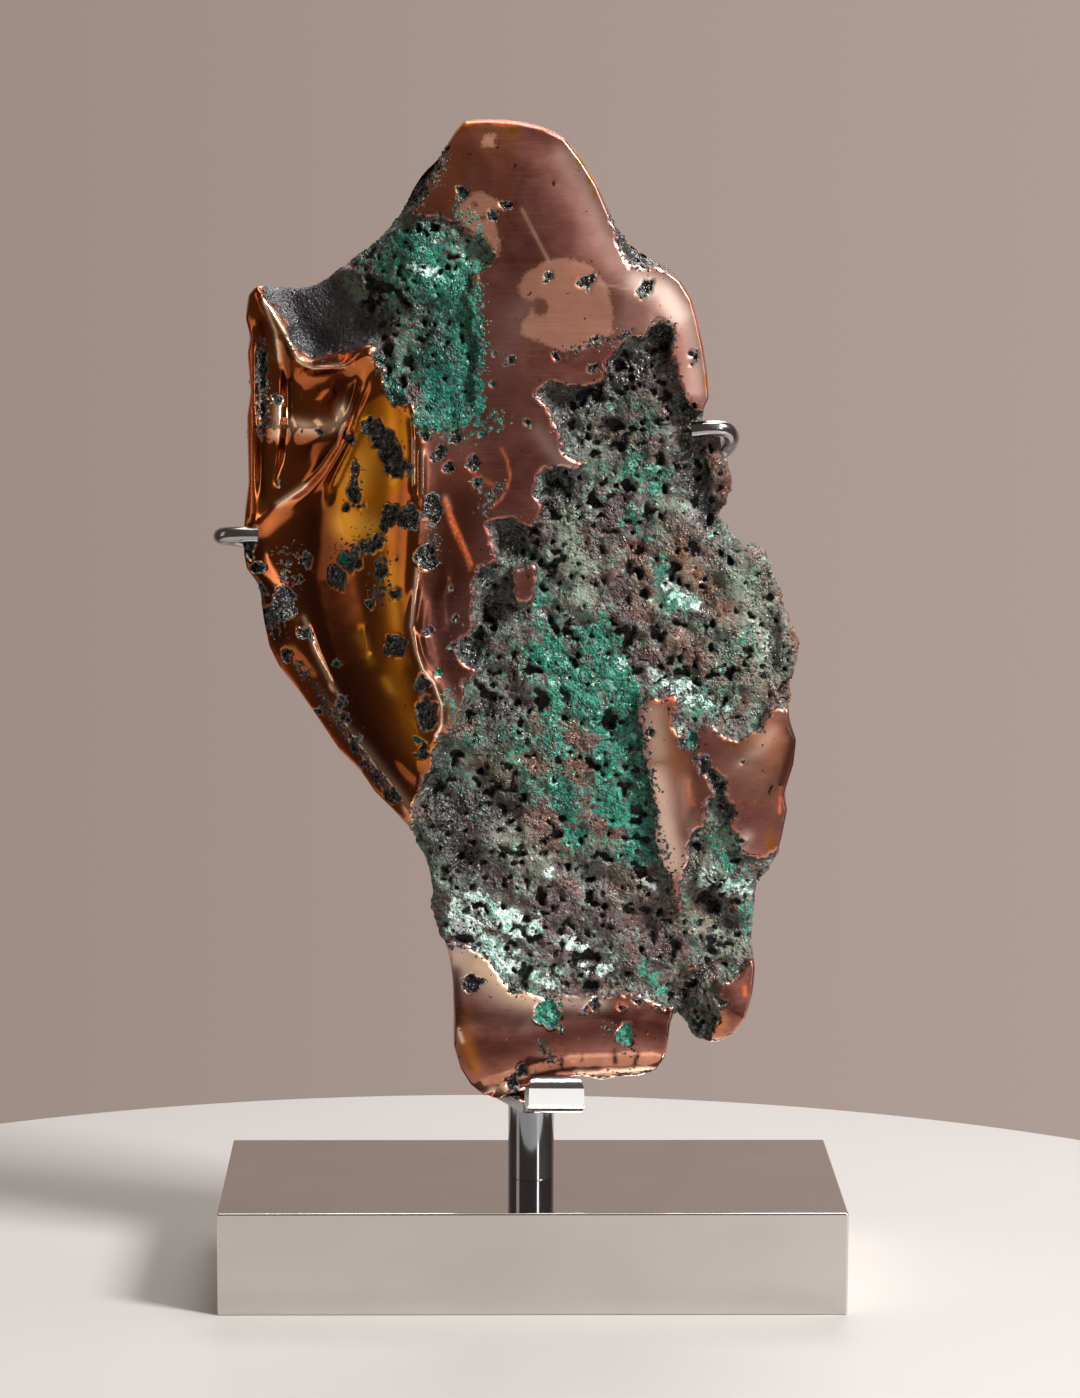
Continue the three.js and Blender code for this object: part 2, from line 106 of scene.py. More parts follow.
def add_room():
    """A taupe backdrop, dimmer to the left, that falls off to a darker room in front of the object."""
    world = bpy.data.worlds.new("room")
    world.use_nodes = True
    tree = world.node_tree
    coordinates = tree.nodes.new("ShaderNodeTexCoord")
    split = tree.nodes.new("ShaderNodeSeparateXYZ")
    tree.links.new(coordinates.outputs["Generated"], split.inputs[0])

    def blend(axis, low, high, a, b):
        share = tree.nodes.new("ShaderNodeMapRange")
        share.interpolation_type = "SMOOTHSTEP"
        share.inputs["From Min"].default_value = low
        share.inputs["From Max"].default_value = high
        tree.links.new(split.outputs[axis], share.inputs["Value"])
        mix = tree.nodes.new("ShaderNodeMix")
        mix.data_type = "RGBA"
        tree.links.new(share.outputs["Result"], mix.inputs[0])
        for socket, colour in ((mix.inputs[6], a), (mix.inputs[7], b)):
            if isinstance(colour, bpy.types.NodeSocket):
                tree.links.new(colour, socket)
            else:
                socket.default_value = colour
        return mix.outputs[2]

    backdrop = blend("X", -0.16, 0.16, BACKDROP_LEFT, BACKDROP_RIGHT)
    colour = blend("Y", 0.45, 0.92, ROOM_SHADE, backdrop)
    tree.links.new(colour, tree.nodes["Background"].inputs["Color"])
    bpy.context.scene.world = world


def add_lights():
    middle = (0.0, 0.0, 0.27)
    soft_box("key_right", (2.85, -1.8, 3.06), middle, 0.9, 1.26, 378, (1.0, 0.98, 0.96))
    soft_box("top", (0.1, 0.15, 1.5), middle, 0.9, 0.6, 8, (1.0, 0.98, 0.97))
    soft_box("strip_left", (-1.25, -0.45, 0.55), middle, 0.4, 1.1, 1.2, (1.0, 0.86, 0.7))
    soft_box("front_right", (0.95, -1.35, 0.6), middle, 0.24, 0.9, 3.2, (1.0, 0.98, 0.97))
    soft_box("back_fill", (0.3, 1.4, 1.7), middle, 1.0, 0.8, 16, (1.0, 0.97, 0.94))


# Helpers for meshes and materials


def new_piece(name, mesh):
    piece = bpy.data.objects.new(name, mesh)
    bpy.context.scene.collection.objects.link(piece)
    return piece


def mesh_of(bm, name):
    mesh = bpy.data.meshes.new(name)
    bm.to_mesh(mesh)
    bm.free()
    return mesh


def finished_mesh(piece):
    """The piece's mesh with its modifiers applied."""
    evaluated = piece.evaluated_get(bpy.context.evaluated_depsgraph_get())
    return bpy.data.meshes.new_from_object(evaluated)


def apply_modifiers(piece):
    mesh = finished_mesh(piece)
    piece.modifiers.clear()
    piece.data = mesh


def shade_smooth(piece, angle=None):
    piece.data.shade_smooth()
    if angle is not None:
        piece.data.set_sharp_from_angle(angle=angle)


class Finish:
    """A material and its node tree, with a short call for each kind of node used here."""

    def __init__(self, name):
        self.material = bpy.data.materials.new(name)
        self.material.use_nodes = True
        self.tree = self.material.node_tree
        self.shader = self.tree.nodes["Principled BSDF"]
        self.place = self.node("ShaderNodeTexCoord").outputs["Object"]

    def node(self, kind, **settings):
        made = self.tree.nodes.new(kind)
        for key, value in settings.items():
            setattr(made, key, value)
        return made

    def feed(self, socket, value):
        if isinstance(value, bpy.types.NodeSocket):
            self.tree.links.new(value, socket)
        else:
            socket.default_value = value

    def set(self, socket, value):
        self.feed(self.shader.inputs[socket], value)

    def attribute(self, name):
        return self.node("ShaderNodeAttribute", attribute_name=name).outputs["Fac"]

    def stretched(self, scale, turn=(0, 0, 0)):
        mapping = self.node("ShaderNodeMapping")
        self.feed(mapping.inputs["Vector"], self.place)
        mapping.inputs["Scale"].default_value = scale
        mapping.inputs["Rotation"].default_value = turn
        return mapping.outputs["Vector"]

    def noise(self, size, detail=3.0, roughness=0.55, place=None, warp=0.0):
        """Soft noise about 0.5 whose lumps are about size metres across."""
        made = self.node("ShaderNodeTexNoise")
        self.feed(made.inputs["Vector"], place or self.place)
        made.inputs["Scale"].default_value = 1 / size
        made.inputs["Detail"].default_value = detail
        made.inputs["Roughness"].default_value = roughness
        made.inputs["Distortion"].default_value = warp
        return made.outputs["Fac"]

    def shaken(self, size, amount):
        """Object coordinates pushed about by noise, so that cells don't look round."""
        push = self.node("ShaderNodeTexNoise")
        self.feed(push.inputs["Vector"], self.place)
        push.inputs["Scale"].default_value = 1 / size
        shift = self.node("ShaderNodeVectorMath", operation="MULTIPLY_ADD")
        self.feed(shift.inputs[0], push.outputs["Color"])
        shift.inputs[1].default_value = (amount, amount, amount)
        self.feed(shift.inputs[2], self.place)
        return shift.outputs["Vector"]

    def cells(self, size, place=None):
        """Grains about size metres across: distance from each grain's middle, and a number of its own."""
        made = self.node("ShaderNodeTexVoronoi")
        self.feed(made.inputs["Vector"], place or self.place)
        made.inputs["Scale"].default_value = 1 / size
        own = self.node("ShaderNodeSeparateColor")
        self.feed(own.inputs["Color"], made.outputs["Color"])
        return made.outputs["Distance"], own.outputs["Red"]

    def math(self, operation, a, b=0.0):
        made = self.node("ShaderNodeMath", operation=operation)
        self.feed(made.inputs[0], a)
        self.feed(made.inputs[1], b)
        return made.outputs[0]

    def part(self, name, amount):
        """A share of an attribute."""
        return self.math("MULTIPLY", self.attribute(name), amount)

    def most(self, first, *others):
        """The largest of several values."""
        for other in others:
            first = self.math("MAXIMUM", first, other)
        return first

    def span(self, value, low, high, to_low=0.0, to_high=1.0, smooth=True):
        """Carries low to high over to to_low to to_high, held at the ends."""
        made = self.node("ShaderNodeMapRange", interpolation_type="SMOOTHSTEP" if smooth else "LINEAR")
        self.feed(made.inputs["Value"], value)
        made.inputs["From Min"].default_value = low
        made.inputs["From Max"].default_value = high
        self.feed(made.inputs["To Min"], to_low)
        self.feed(made.inputs["To Max"], to_high)
        return made.outputs["Result"]

    def mix(self, share, a, b):
        """Colour a where share is 0 and colour b where it is 1."""
        made = self.node("ShaderNodeMix", data_type="RGBA")
        self.feed(made.inputs[0], share)
        self.feed(made.inputs[6], a)
        self.feed(made.inputs[7], b)
        return made.outputs[2]

    def bump(self, height, distance, strength=1.0, under=None):
        made = self.node("ShaderNodeBump")
        self.feed(made.inputs["Height"], height)
        made.inputs["Distance"].default_value = distance
        self.feed(made.inputs["Strength"], strength)
        if under is not None:
            self.feed(made.inputs["Normal"], under)
        return made.outputs["Normal"]


# Steel stand

BASE_BEVEL = 0.0008
STRIP_WIDTH = 0.0254
STRIP_THICK = 0.004
STRIP_BEND = 0.004
LIP_BEND = 0.0035
LIP_CURL = 0.0042
LIP_CORNER = 0.0042
LIP_CURL_ANGLE = math.radians(50)
LIP_SKEW = 0.1
LIP_SAG = 0.003
CRADLE_TURN = math.radians(25)
CRADLE_FRONT = -0.024
CRADLE_BACK = 0.023
CRADLE_UNDERSIDE = 0.075
CRADLE_LIP_TOP = 0.0898
CRADLE_BACK_TOP = 0.128
POST_RADIUS = 0.009525
SPINE_RADIUS = 0.00476
PRONG_RADIUS = 0.003175
POST_ROUND = 0.0003
SPINE_ROUND = 0.0012
PRONG_ROUND = 0.0007
STRIP_ROUND = 0.0016
SHARP_ANGLE = math.radians(35)
STRIP_SHARP_ANGLE = math.radians(40)
STRIP_EDGE_ANGLE = math.radians(50)

# The nugget keeps this far from the cradle, and falls back to its own shape this steeply beside it.
SEAT_GAP = 0.0006
SEAT_SLOPE = 3.0


def steel_finish(name, clear, hazy, dull, bright):
    """Steel that goes from clear to hazy, and from dull to bright, in soft smudges."""
    finish = Finish(name)
    smudge = finish.noise(0.045, detail=4.0)
    haze = finish.span(smudge, 0.45, 0.75, clear, hazy)
    wipe = finish.noise(0.002, detail=2.0, place=finish.stretched((0.05, 1.0, 1.0)))
    finish.set("Base Color", finish.mix(smudge, dull, bright))
    finish.set("Metallic", 1.0)
    finish.set("Roughness", haze)
    finish.set("Normal", finish.bump(wipe, 0.000004))
    return finish.material


def steel_piece(name, mesh, node, steel, angle=SHARP_ANGLE):
    piece = new_piece(name, mesh)
    piece.data.materials.append(steel)
    shade_smooth(piece, angle)
    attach(piece, "root")
    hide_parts(node)
    return piece


def even_normals(piece):
    """Makes flat faces reflect flat right up to their rounded edges."""
    even = piece.modifiers.new("even_normals", "WEIGHTED_NORMAL")
    even.keep_sharp = True
    apply_modifiers(piece)


def bevelled(bm, edges, width, segments):
    bmesh.ops.bevel(
        bm, geom=edges, offset=width, segments=segments, affect="EDGES", profile=0.5, material=-1
    )


def add_base(steel):
    low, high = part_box("stand_base")
    bm = bmesh.new()
    bmesh.ops.create_cube(bm, size=1)
    bmesh.ops.scale(bm, vec=Vector(high) - Vector(low), verts=bm.verts)
    bmesh.ops.translate(bm, vec=(Vector(high) + Vector(low)) / 2, verts=bm.verts)
    bevelled(bm, bm.edges[:], BASE_BEVEL, 4)
    even_normals(steel_piece("polished_base", mesh_of(bm, "polished_base"), "stand_base", steel))


def rod_mesh(name, radius, bottom, top, x, y, sides, rounding):
    """An upright round rod whose end edges are rounded over."""
    bm = bmesh.new()
    bmesh.ops.create_cone(
        bm, cap_ends=True, segments=sides, radius1=radius, radius2=radius, depth=top - bottom
    )
    bmesh.ops.translate(bm, vec=(x, y, (top + bottom) / 2), verts=bm.verts)
    rims = [e for e in bm.edges if abs(e.verts[0].co.z - e.verts[1].co.z) < 1e-7]
    bevelled(bm, rims, rounding, 4)
    return mesh_of(bm, name)


def add_post(steel):
    base_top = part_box("stand_base")[1][2]
    mesh = rod_mesh("round_post", POST_RADIUS, base_top, CRADLE_UNDERSIDE, 0, 0, 96, POST_ROUND)
    even_normals(steel_piece("round_post", mesh, "stand_post", steel))


def add_spine(steel):
    low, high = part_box("back_spine")
    x, y = (low[0] + high[0]) / 2, (low[1] + high[1]) / 2
    mesh = rod_mesh("back_rod", SPINE_RADIUS, low[2], high[2], x, y, 48, SPINE_ROUND)
    even_normals(steel_piece("back_rod", mesh, "back_spine", steel))


def add_cradle(steel):
    """The strip's middle surface is drawn out and bent from the lip's top edge, then thickened."""
    half = STRIP_THICK / 2
    bend = STRIP_BEND - half
    front, back = CRADLE_FRONT + half, CRADLE_BACK - half
    floor = CRADLE_UNDERSIDE + half
    curl_low = CRADLE_LIP_TOP - LIP_CURL * math.sin(LIP_CURL_ANGLE)
    lean = LIP_CURL * (1 - math.cos(LIP_CURL_ANGLE))
    bm = bmesh.new()
    ends = [bm.verts.new((side * STRIP_WIDTH / 2, front + lean, CRADLE_LIP_TOP)) for side in (-1, 1)]
    edge = bm.edges.new(ends)

    def draw_out(edge, step):
        made = bmesh.ops.extrude_edge_only(bm, edges=[edge])["geom"]
        bmesh.ops.translate(bm, vec=step, verts=[v for v in made if isinstance(v, bmesh.types.BMVert)])
        return next(e for e in made if isinstance(e, bmesh.types.BMEdge))

    def bend_round(edge, centre, angle=math.pi / 2):
        made = bmesh.ops.spin(
            bm, geom=[edge], cent=centre, axis=(1, 0, 0), angle=angle, steps=10,
            use_merge=False, use_normal_flip=False, use_duplicate=False,
        )
        return next(e for e in made["geom_last"] if isinstance(e, bmesh.types.BMEdge))

    edge = bend_round(edge, (0, front + LIP_CURL, curl_low), LIP_CURL_ANGLE)
    edge = draw_out(edge, (0, 0, floor + LIP_BEND - curl_low))
    edge = bend_round(edge, (0, front + LIP_BEND, floor + LIP_BEND))
    edge = draw_out(edge, (0, back - bend - front - LIP_BEND, 0))
    edge = bend_round(edge, (0, back - bend, floor + bend))
    draw_out(edge, (0, 0, CRADLE_BACK_TOP - floor - bend))
    bmesh.ops.remove_doubles(bm, verts=bm.verts, dist=1e-6)
    bmesh.ops.recalc_face_normals(bm, faces=bm.faces)
    for v in bm.verts:
        rise = min(max(v.co.z - CRADLE_LIP_TOP + LIP_CORNER, 0), LIP_CORNER)
        if v.co.y < 0:
            v.co.x *= 1 - (LIP_CORNER - math.sqrt(LIP_CORNER**2 - rise**2)) * 2 / STRIP_WIDTH
        share = max(0, (v.co.y + POST_RADIUS) / (front + POST_RADIUS))
        v.co.z -= (LIP_SAG + LIP_SKEW * v.co.x) * share
    bmesh.ops.rotate(bm, matrix=Matrix.Rotation(CRADLE_TURN, 3, "Z"), verts=bm.verts)
    piece = steel_piece("bent_cradle", mesh_of(bm, "bent_cradle"), "cradle", steel, STRIP_SHARP_ANGLE)
    thick = piece.modifiers.new("thickness", "SOLIDIFY")
    thick.thickness = STRIP_THICK
    thick.offset = 0
    thick.use_even_offset = True
    edges = piece.modifiers.new("rounded_edges", "BEVEL")
    edges.width = STRIP_ROUND
    edges.segments = 5
    edges.limit_method = "ANGLE"
    edges.angle_limit = STRIP_EDGE_ANGLE
    even_normals(piece)


def add_prong(name, node, path, steel):
    """A round rod along a smooth curve, its tip's edge rounded over."""
    data = bpy.data.curves.new(name, "CURVE")
    data.dimensions = "3D"
    data.bevel_depth = PRONG_RADIUS
    data.bevel_resolution = 6
    data.resolution_u = 10
    data.use_fill_caps = True
    spline = data.splines.new("BEZIER")
    spline.bezier_points.add(len(path) - 1)
    for point, place in zip(spline.bezier_points, path):
        point.co = place
        point.handle_left_type = point.handle_right_type = "AUTO"
    curve = bpy.data.objects.new(name + "_path", data)
    bpy.context.scene.collection.objects.link(curve)
    mesh = finished_mesh(curve)
    bpy.data.objects.remove(curve)
    bm = bmesh.new()
    bm.from_mesh(mesh)
    bmesh.ops.remove_doubles(bm, verts=bm.verts, dist=1e-6)
    caps = [f for f in bm.faces if len(f.verts) > 4]
    bevelled(bm, [e for f in caps for e in f.edges], PRONG_ROUND, 4)
    bmesh.ops.recalc_face_normals(bm, faces=bm.faces)
    steel_piece(name, mesh_of(bm, name), node, steel)


def add_prongs(steel):
    low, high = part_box("back_spine")
    x, y = (low[0] + high[0]) / 2, (low[1] + high[1]) / 2
    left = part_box("left_prong")[0][1] + PRONG_RADIUS
    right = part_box("right_prong")[0][1] + PRONG_RADIUS
    add_prong("left_clasp", "left_prong", [
        (-0.112, left + 0.0029, 0.3094), (-0.121, left + 0.0029, 0.3094), (-0.126, left + 0.005, 0.3089),
        (-0.1275, left + 0.0097, 0.308), (-0.126, left + 0.019, 0.3066), (-0.119, left + 0.029, 0.3045),
        (-0.100, 0.036, 0.299), (-0.060, 0.032, 0.280), (x, y, 0.248),
    ], steel)
    add_prong("right_clasp", "right_prong", [
        (0.064, right + 0.0011, 0.353), (0.0725, right + 0.0011, 0.3538), (0.0777, right + 0.0028, 0.3532),
        (0.0803, right + 0.007, 0.3508), (0.0807, right + 0.015, 0.3472), (0.0785, right + 0.024, 0.343),
        (0.070, 0.021, 0.337), (0.040, 0.023, 0.315), (x, y, 0.256),
    ], steel)


# Nugget: where its surfaces lie on the front

# Rough crust. The loops run past the slab's edge where the crust does.
CRUST_LOOPS = [
    # stone hollow and malachite field, upper left
    [
        (-110, 411), (-110, 420), (-92, 424), (-80, 430), (-66, 438), (-60, 446), (-56, 441), (-50, 440),
        (-45, 438), (-38, 439), (-31, 436), (-28, 432), (-20, 429), (-16, 424), (-18, 420), (-23.5, 415),
        (-27, 408), (-25.5, 398), (-25, 385), (-24.5, 375), (-26, 362), (-33, 358), (-43, 359), (-50, 364),
        (-57, 366), (-60, 372), (-62, 378), (-63, 385), (-66, 389), (-71, 387), (-77, 385.5), (-84, 383),
        (-90, 381), (-94, 384), (-98, 388), (-99, 393), (-100, 398), (-105, 403), (-108.5, 408),
    ],
    # rim at the top left
    [
        (-40, 474), (-34.5, 466), (-38, 460), (-41, 455), (-44, 448), (-47, 443), (-49, 441), (-54, 437),
        (-66, 438), (-66, 460),
    ],
    # rim in the right shoulder
    [
        (30, 444), (33, 434), (35, 426), (39, 420.5), (44, 418.5), (49, 419), (56, 417.5), (64, 420),
        (52, 436),
    ],
    # the crusted body
    [
        (78, 360), (67.5, 360), (64, 362), (61, 366), (58, 372), (56, 380), (55, 388), (57, 395), (53, 396),
        (50, 397.5), (47, 393), (44, 390), (38, 390), (35, 387), (31, 383), (29, 380), (30, 377), (28, 373),
        (24, 371.5), (14, 371), (9, 372.5), (5, 371), (1, 369), (2, 366.5), (5, 364), (7, 360), (8.5, 355),
        (11, 350), (13, 345), (17, 342), (22, 340), (18, 338), (12, 337.5), (5, 338), (2, 334), (1, 328),
        (4, 321), (3, 316), (0, 314.5), (-5, 315), (-9, 317), (-14, 317.5), (-18.5, 315), (-17, 309),
        (-15, 304), (-12.5, 299), (-18, 299.5), (-22, 297), (-24.5, 290), (-24, 281), (-24, 272),
        (-26, 269.5), (-29.5, 267), (-30.5, 262), (-28, 259), (-24, 257), (-23, 254), (-25, 251), (-28, 250),
        (-27, 244), (-29, 236), (-31, 231), (-38, 228), (-40.5, 222), (-40, 215), (-44, 210), (-46, 205),
        (-48, 199), (-48, 194), (-49, 190), (-58, 186), (-54, 160), (-48, 141), (-35, 141), (-31, 142),
        (-27, 140.5), (-21, 138), (-17, 134), (-14, 130), (-11, 127), (-9, 124.5), (-6, 122.5), (0, 122),
        (3, 120), (10, 120), (13, 121), (35, 121), (40, 121.5), (46, 120), (51, 117), (55, 115), (59, 116),
        (60, 112), (64, 98), (84, 90), (100, 96), (118, 140), (122, 300), (96, 330), (88, 352),
    ],
]

# Polished copper that stands in the crust: the two-lobed window, a nub, a tongue and a small patch.
POLISHED_LOOPS = [
    [
        (43, 239), (45, 243.5), (50, 244.5), (57, 245), (60, 244), (58.5, 238), (57.5, 233), (60, 229.5),
        (65, 230), (69, 231.5), (73, 233), (77, 230), (81, 227.5), (85, 228), (88, 229.5), (92, 231),
        (94, 235), (97, 238.5), (101, 240.5), (104, 239), (120, 236), (120, 180), (100.5, 180), (96, 177),
        (92, 177), (88, 178.5), (85, 180), (83.5, 183), (86, 185), (84, 187), (81, 190), (80.5, 194),
        (84, 196), (82, 200), (79, 204), (76, 206), (80, 208), (79.5, 209.5), (75, 213), (71, 217),
        (69, 219), (70, 214), (73, 209), (75, 205), (72, 200), (71, 195), (70, 191), (66, 188),
        (64.5, 183), (64, 177), (62, 171), (60.5, 166), (61, 161), (63, 157.5), (61, 154.5), (59, 156),
        (57, 160), (58, 165), (56, 170), (54, 174), (52, 180), (50.5, 186), (50, 192), (50, 198),
        (49, 204), (47.5, 210), (46, 217), (45, 223), (44.5, 230), (43, 235),
    ],
    [
        (76, 126), (79, 127), (83, 127), (86, 130), (90, 135), (104, 132), (90, 95), (73, 101), (74, 106),
        (77, 110), (76, 115), (77, 119),
    ],
    [(-9, 296), (-4, 298), (0, 299), (3, 296), (1.5, 291), (0.5, 285), (-2, 282), (-7, 282), (-8, 289)],
    [(63, 131), (66, 134), (69, 133), (68, 130)],
]

# Black pits in the polished copper, as x, z, half width, half height.
BLACK_PITS = [
    (-65, 354, 4.5, 3.5), (-61, 349, 5, 5), (-57, 343, 5, 5), (-55, 338, 5, 4), (-55, 368.6, 3.2, 5),
    (-61, 381.6, 2, 1.8), (-40.9, 321.2, 3.8, 6.8), (-57.5, 318.5, 4, 4), (-51, 318, 5, 4.5),
    (-60, 314, 2.5, 2), (-72.5, 325.7, 2.5, 3), (-72, 330, 1.6, 1.6), (-76, 321, 1.4, 1.4),
    (-69, 321, 1, 1), (-71, 336, 1.6, 1.6), (-74, 349, 2, 1.6), (-63, 307, 3, 2.4), (-67, 305, 3.4, 2.4),
    (-43.4, 301.7, 4.8, 5), (-73.6, 298.9, 4.5, 3.5), (-79.7, 291.6, 3.8, 4), (-61.8, 296, 1.8, 4),
    (-66.3, 282, 1.8, 1.8), (-55.7, 287, 2.4, 1.4), (-55.7, 265.6, 4.2, 5.2), (-42.8, 271, 2.6, 2.2),
    (-44.5, 250.4, 3.4, 3), (-43.4, 238, 4.2, 7.2), (-45.3, 221.6, 2.6, 3), (-93.7, 267.9, 2.4, 2.6),
    (-101, 258.8, 2.6, 2.8), (-78.6, 240.8, 1.8, 3), (-73, 222.7, 2, 3.4), (-57.4, 203.5, 2.6, 3.2),
    (-101.6, 280.3, 5, 6.5), (-112.7, 295, 3, 3), (-92.6, 298.3, 2, 3.4), (-110, 377, 1.6, 9),
    (-110.5, 360, 1.6, 4), (-33.3, 265, 1.5, 1.3), (-31, 276.3, 1.6, 1.4), (-33.3, 288.7, 1.3, 1.3),
    (-96, 290, 1.3, 1.3), (-87, 351, 1.6, 1), (-94, 352, 1, 1), (-103, 329, 1, 1), (-104, 364, 1.4, 1),
    (-64, 209, 1.8, 2.4), (-69, 215, 1.6, 2.2), (-88, 236, 1.4, 2), (-77, 234, 1.8, 1.8),
    (-11, 443.5, 2.4, 2.2), (6, 415, 3, 2.6), (20.5, 412.5, 2.8, 2.6), (23.5, 414.5, 1.8, 1.6),
    (45.5, 411, 2.8, 2.2), (43, 408.5, 1.4, 1.2), (-9.5, 381, 2, 1.8), (9, 383, 2.2, 1.6),
    (24, 379, 2.6, 2.2), (24.5, 391, 1.3, 1.2), (36, 391, 1.6, 1.4), (-2.5, 356, 1.6, 1.4),
    (64.5, 383, 1.3, 2.4), (65.5, 364, 1.2, 1.2), (-22, 331, 2.4, 2), (-25, 340, 3, 2.6),
    (-34, 338, 2, 2.4), (-38, 344, 2.4, 2.6), (-31, 351, 2, 2), (-44, 352, 2.2, 3), (-29, 449, 2.4, 2),
    (-17, 439, 1.8, 1.6), (-24.5, 125.5, 4.4, 3.6), (-8, 123, 2, 2), (22, 115, 1.4, 1.4),
    (37, 116, 1.4, 1.2), (48, 231, 1.2, 1.2), (70, 216, 2, 3), (76, 208, 3, 2), (78, 199, 2.6, 3),
    (86, 219, 1.6, 1.2), (62, 226, 2, 2.2), (-4, 89, 3.0, 3.4), (-7.5, 83.5, 3.0, 4),
    (26.5, 117, 1.8, 3.6), (12.5, 107, 1.2, 1.6), (44, 118, 1.4, 1.6), (78, 117, 1.6, 2),
    (81, 126, 1.6, 1.2), (-116, 303, 2.6, 4), (-113, 284, 3.4, 5), (-107, 275, 3.4, 4.5),
]

# Chips of turquoise-green mineral in the copper, as x, z, half width, half height.
GREEN_CHIPS = [
    (6.5, 113, 5.2, 6.2), (38.5, 104, 3.4, 4.8), (-79.2, 256, 1.5, 1.1), (-76, 300, 2.6, 2.2),
    (65, 227, 2.4, 3), (-29, 447, 2, 1.4), (-17, 440.5, 1.4, 1.2), (-22, 352, 1.6, 1.4),
    (-17, 372, 1.6, 1.4), (-15, 384, 1.4, 1.2), (-23, 333, 1.8, 1.4), (-38, 255, 1.6, 1.4),
    (-47, 226, 1.5, 1.5),
]

# Ridges (height above zero) and grooves (below zero) of the glossy wing: height, half width, line.
WING_FOLDS = [
    # rim under the stone hollow
    (1.9, 1.8, [
        (-109, 407), (-106, 401), (-99.3, 389), (-95.4, 380.5), (-89.2, 377), (-77, 378.8), (-70, 383),
    ]),
    # rolled left edge, the pitted groove inside it and the rib beside that
    (1.3, 2.0, [(-114.4, 400), (-114.4, 384), (-114.4, 317), (-112, 305)]),
    (-1.7, 1.8, [(-110.5, 395), (-110.5, 345), (-111, 322)]),
    (1.4, 1.8, [(-111, 404), (-105, 392), (-103.2, 380), (-103.5, 355), (-105, 339), (-108, 322)]),
    (-1.2, 1.7, [(-100, 380), (-99.5, 350), (-102, 334)]),
    # cross fold
    (1.7, 4.0, [(-99, 352), (-90, 352.5), (-82, 354), (-77, 360)]),
    (-1.0, 3.5, [(-96, 365), (-86, 366), (-79, 369)]),
    # two long S folds and the groove between them
    (1.4, 1.6, [
        (-69, 381), (-71.3, 370.9), (-74.7, 359.6), (-80.3, 346), (-88, 334.8), (-94.3, 328), (-105, 321),
        (-108, 316.7),
    ]),
    (-1.2, 1.6, [
        (-66, 381), (-68, 370), (-71.5, 359), (-77, 345), (-84.5, 333.5), (-91, 326), (-101, 318),
    ]),
    (1.3, 1.8, [(-66, 368), (-71, 358), (-74, 348), (-78.5, 338), (-82.5, 329), (-84, 318)]),
    # crest between the wing and the face
    (1.5, 1.4, [(-49.5, 362), (-48.4, 350), (-48.2, 332), (-48.4, 324)]),
    (1.5, 1.4, [
        (-47, 297), (-48.4, 283.7), (-49.5, 273.5), (-47.3, 263.3), (-44.5, 255.4), (-40, 249.8),
        (-37.2, 241.9), (-37.2, 234), (-39.5, 228.3), (-41.7, 221.6),
    ]),
    (-1.0, 1.2, [(-46.7, 350), (-46.5, 326)]),
    (0.9, 1.2, [(-44.7, 346), (-45, 326)]),
    (0.9, 1.2, [(-36, 300), (-35, 292), (-38, 283), (-36, 274), (-39, 271)]),
    (0.8, 1.2, [(-43.5, 287), (-44.5, 274), (-42.3, 263), (-39, 257)]),
    # folds that run down to the lower tip
    (1.2, 1.6, [(-94, 276), (-89.2, 261), (-83.7, 249.8), (-80.3, 243)]),
    (1.5, 2.5, [(-82.5, 236), (-68, 220.4), (-56.8, 206.9), (-47.8, 194.5)]),
    (-1.3, 2.0, [(-100, 264), (-90, 246), (-76, 226), (-63, 208), (-53, 196)]),
    (0.9, 1.4, [(-69, 273), (-66.5, 260)]),
]

# Streaks of colour on the polished copper: strength, half width, line. Some lists also paint highlights,
# reflections and shade, as each says.
GOLD_STREAKS = [
    (1.0, 2.5, [(-58, 362), (-56, 340)]), (0.9, 1.2, [(-83.5, 329), (-82.5, 327)]),
    (0.95, 1.3, [(-70, 272), (-67.3, 260)]), (0.9, 2.6, [(-60, 251), (-58, 247)]),
    (0.6, 2.0, [(-51, 362), (-50, 334)]), (0.5, 1.2, [(-42, 234), (-41, 230)]),
    (0.9, 2.2, [(-31, 474), (-24, 476)]), (0.8, 1.8, [(-9, 473), (-4, 474.5)]),
    (0.8, 1.5, [(13, 468), (19, 460)]), (0.7, 1.2, [(22, 455), (24, 447)]),
    (0.8, 1.4, [(62, 411), (67, 398), (69, 380), (70, 366)]),
    (0.4, 3, [(-27, 118), (-27, 100), (-23, 90)]), (0.8, 2.0, [(98.5, 189), (97.5, 182)]),
    (0.8, 3, [(77, 109), (83, 105)]),
    (0.75, 5.5, [(-60, 304), (-58, 276), (-56, 256), (-51, 236), (-47, 222)]),
]
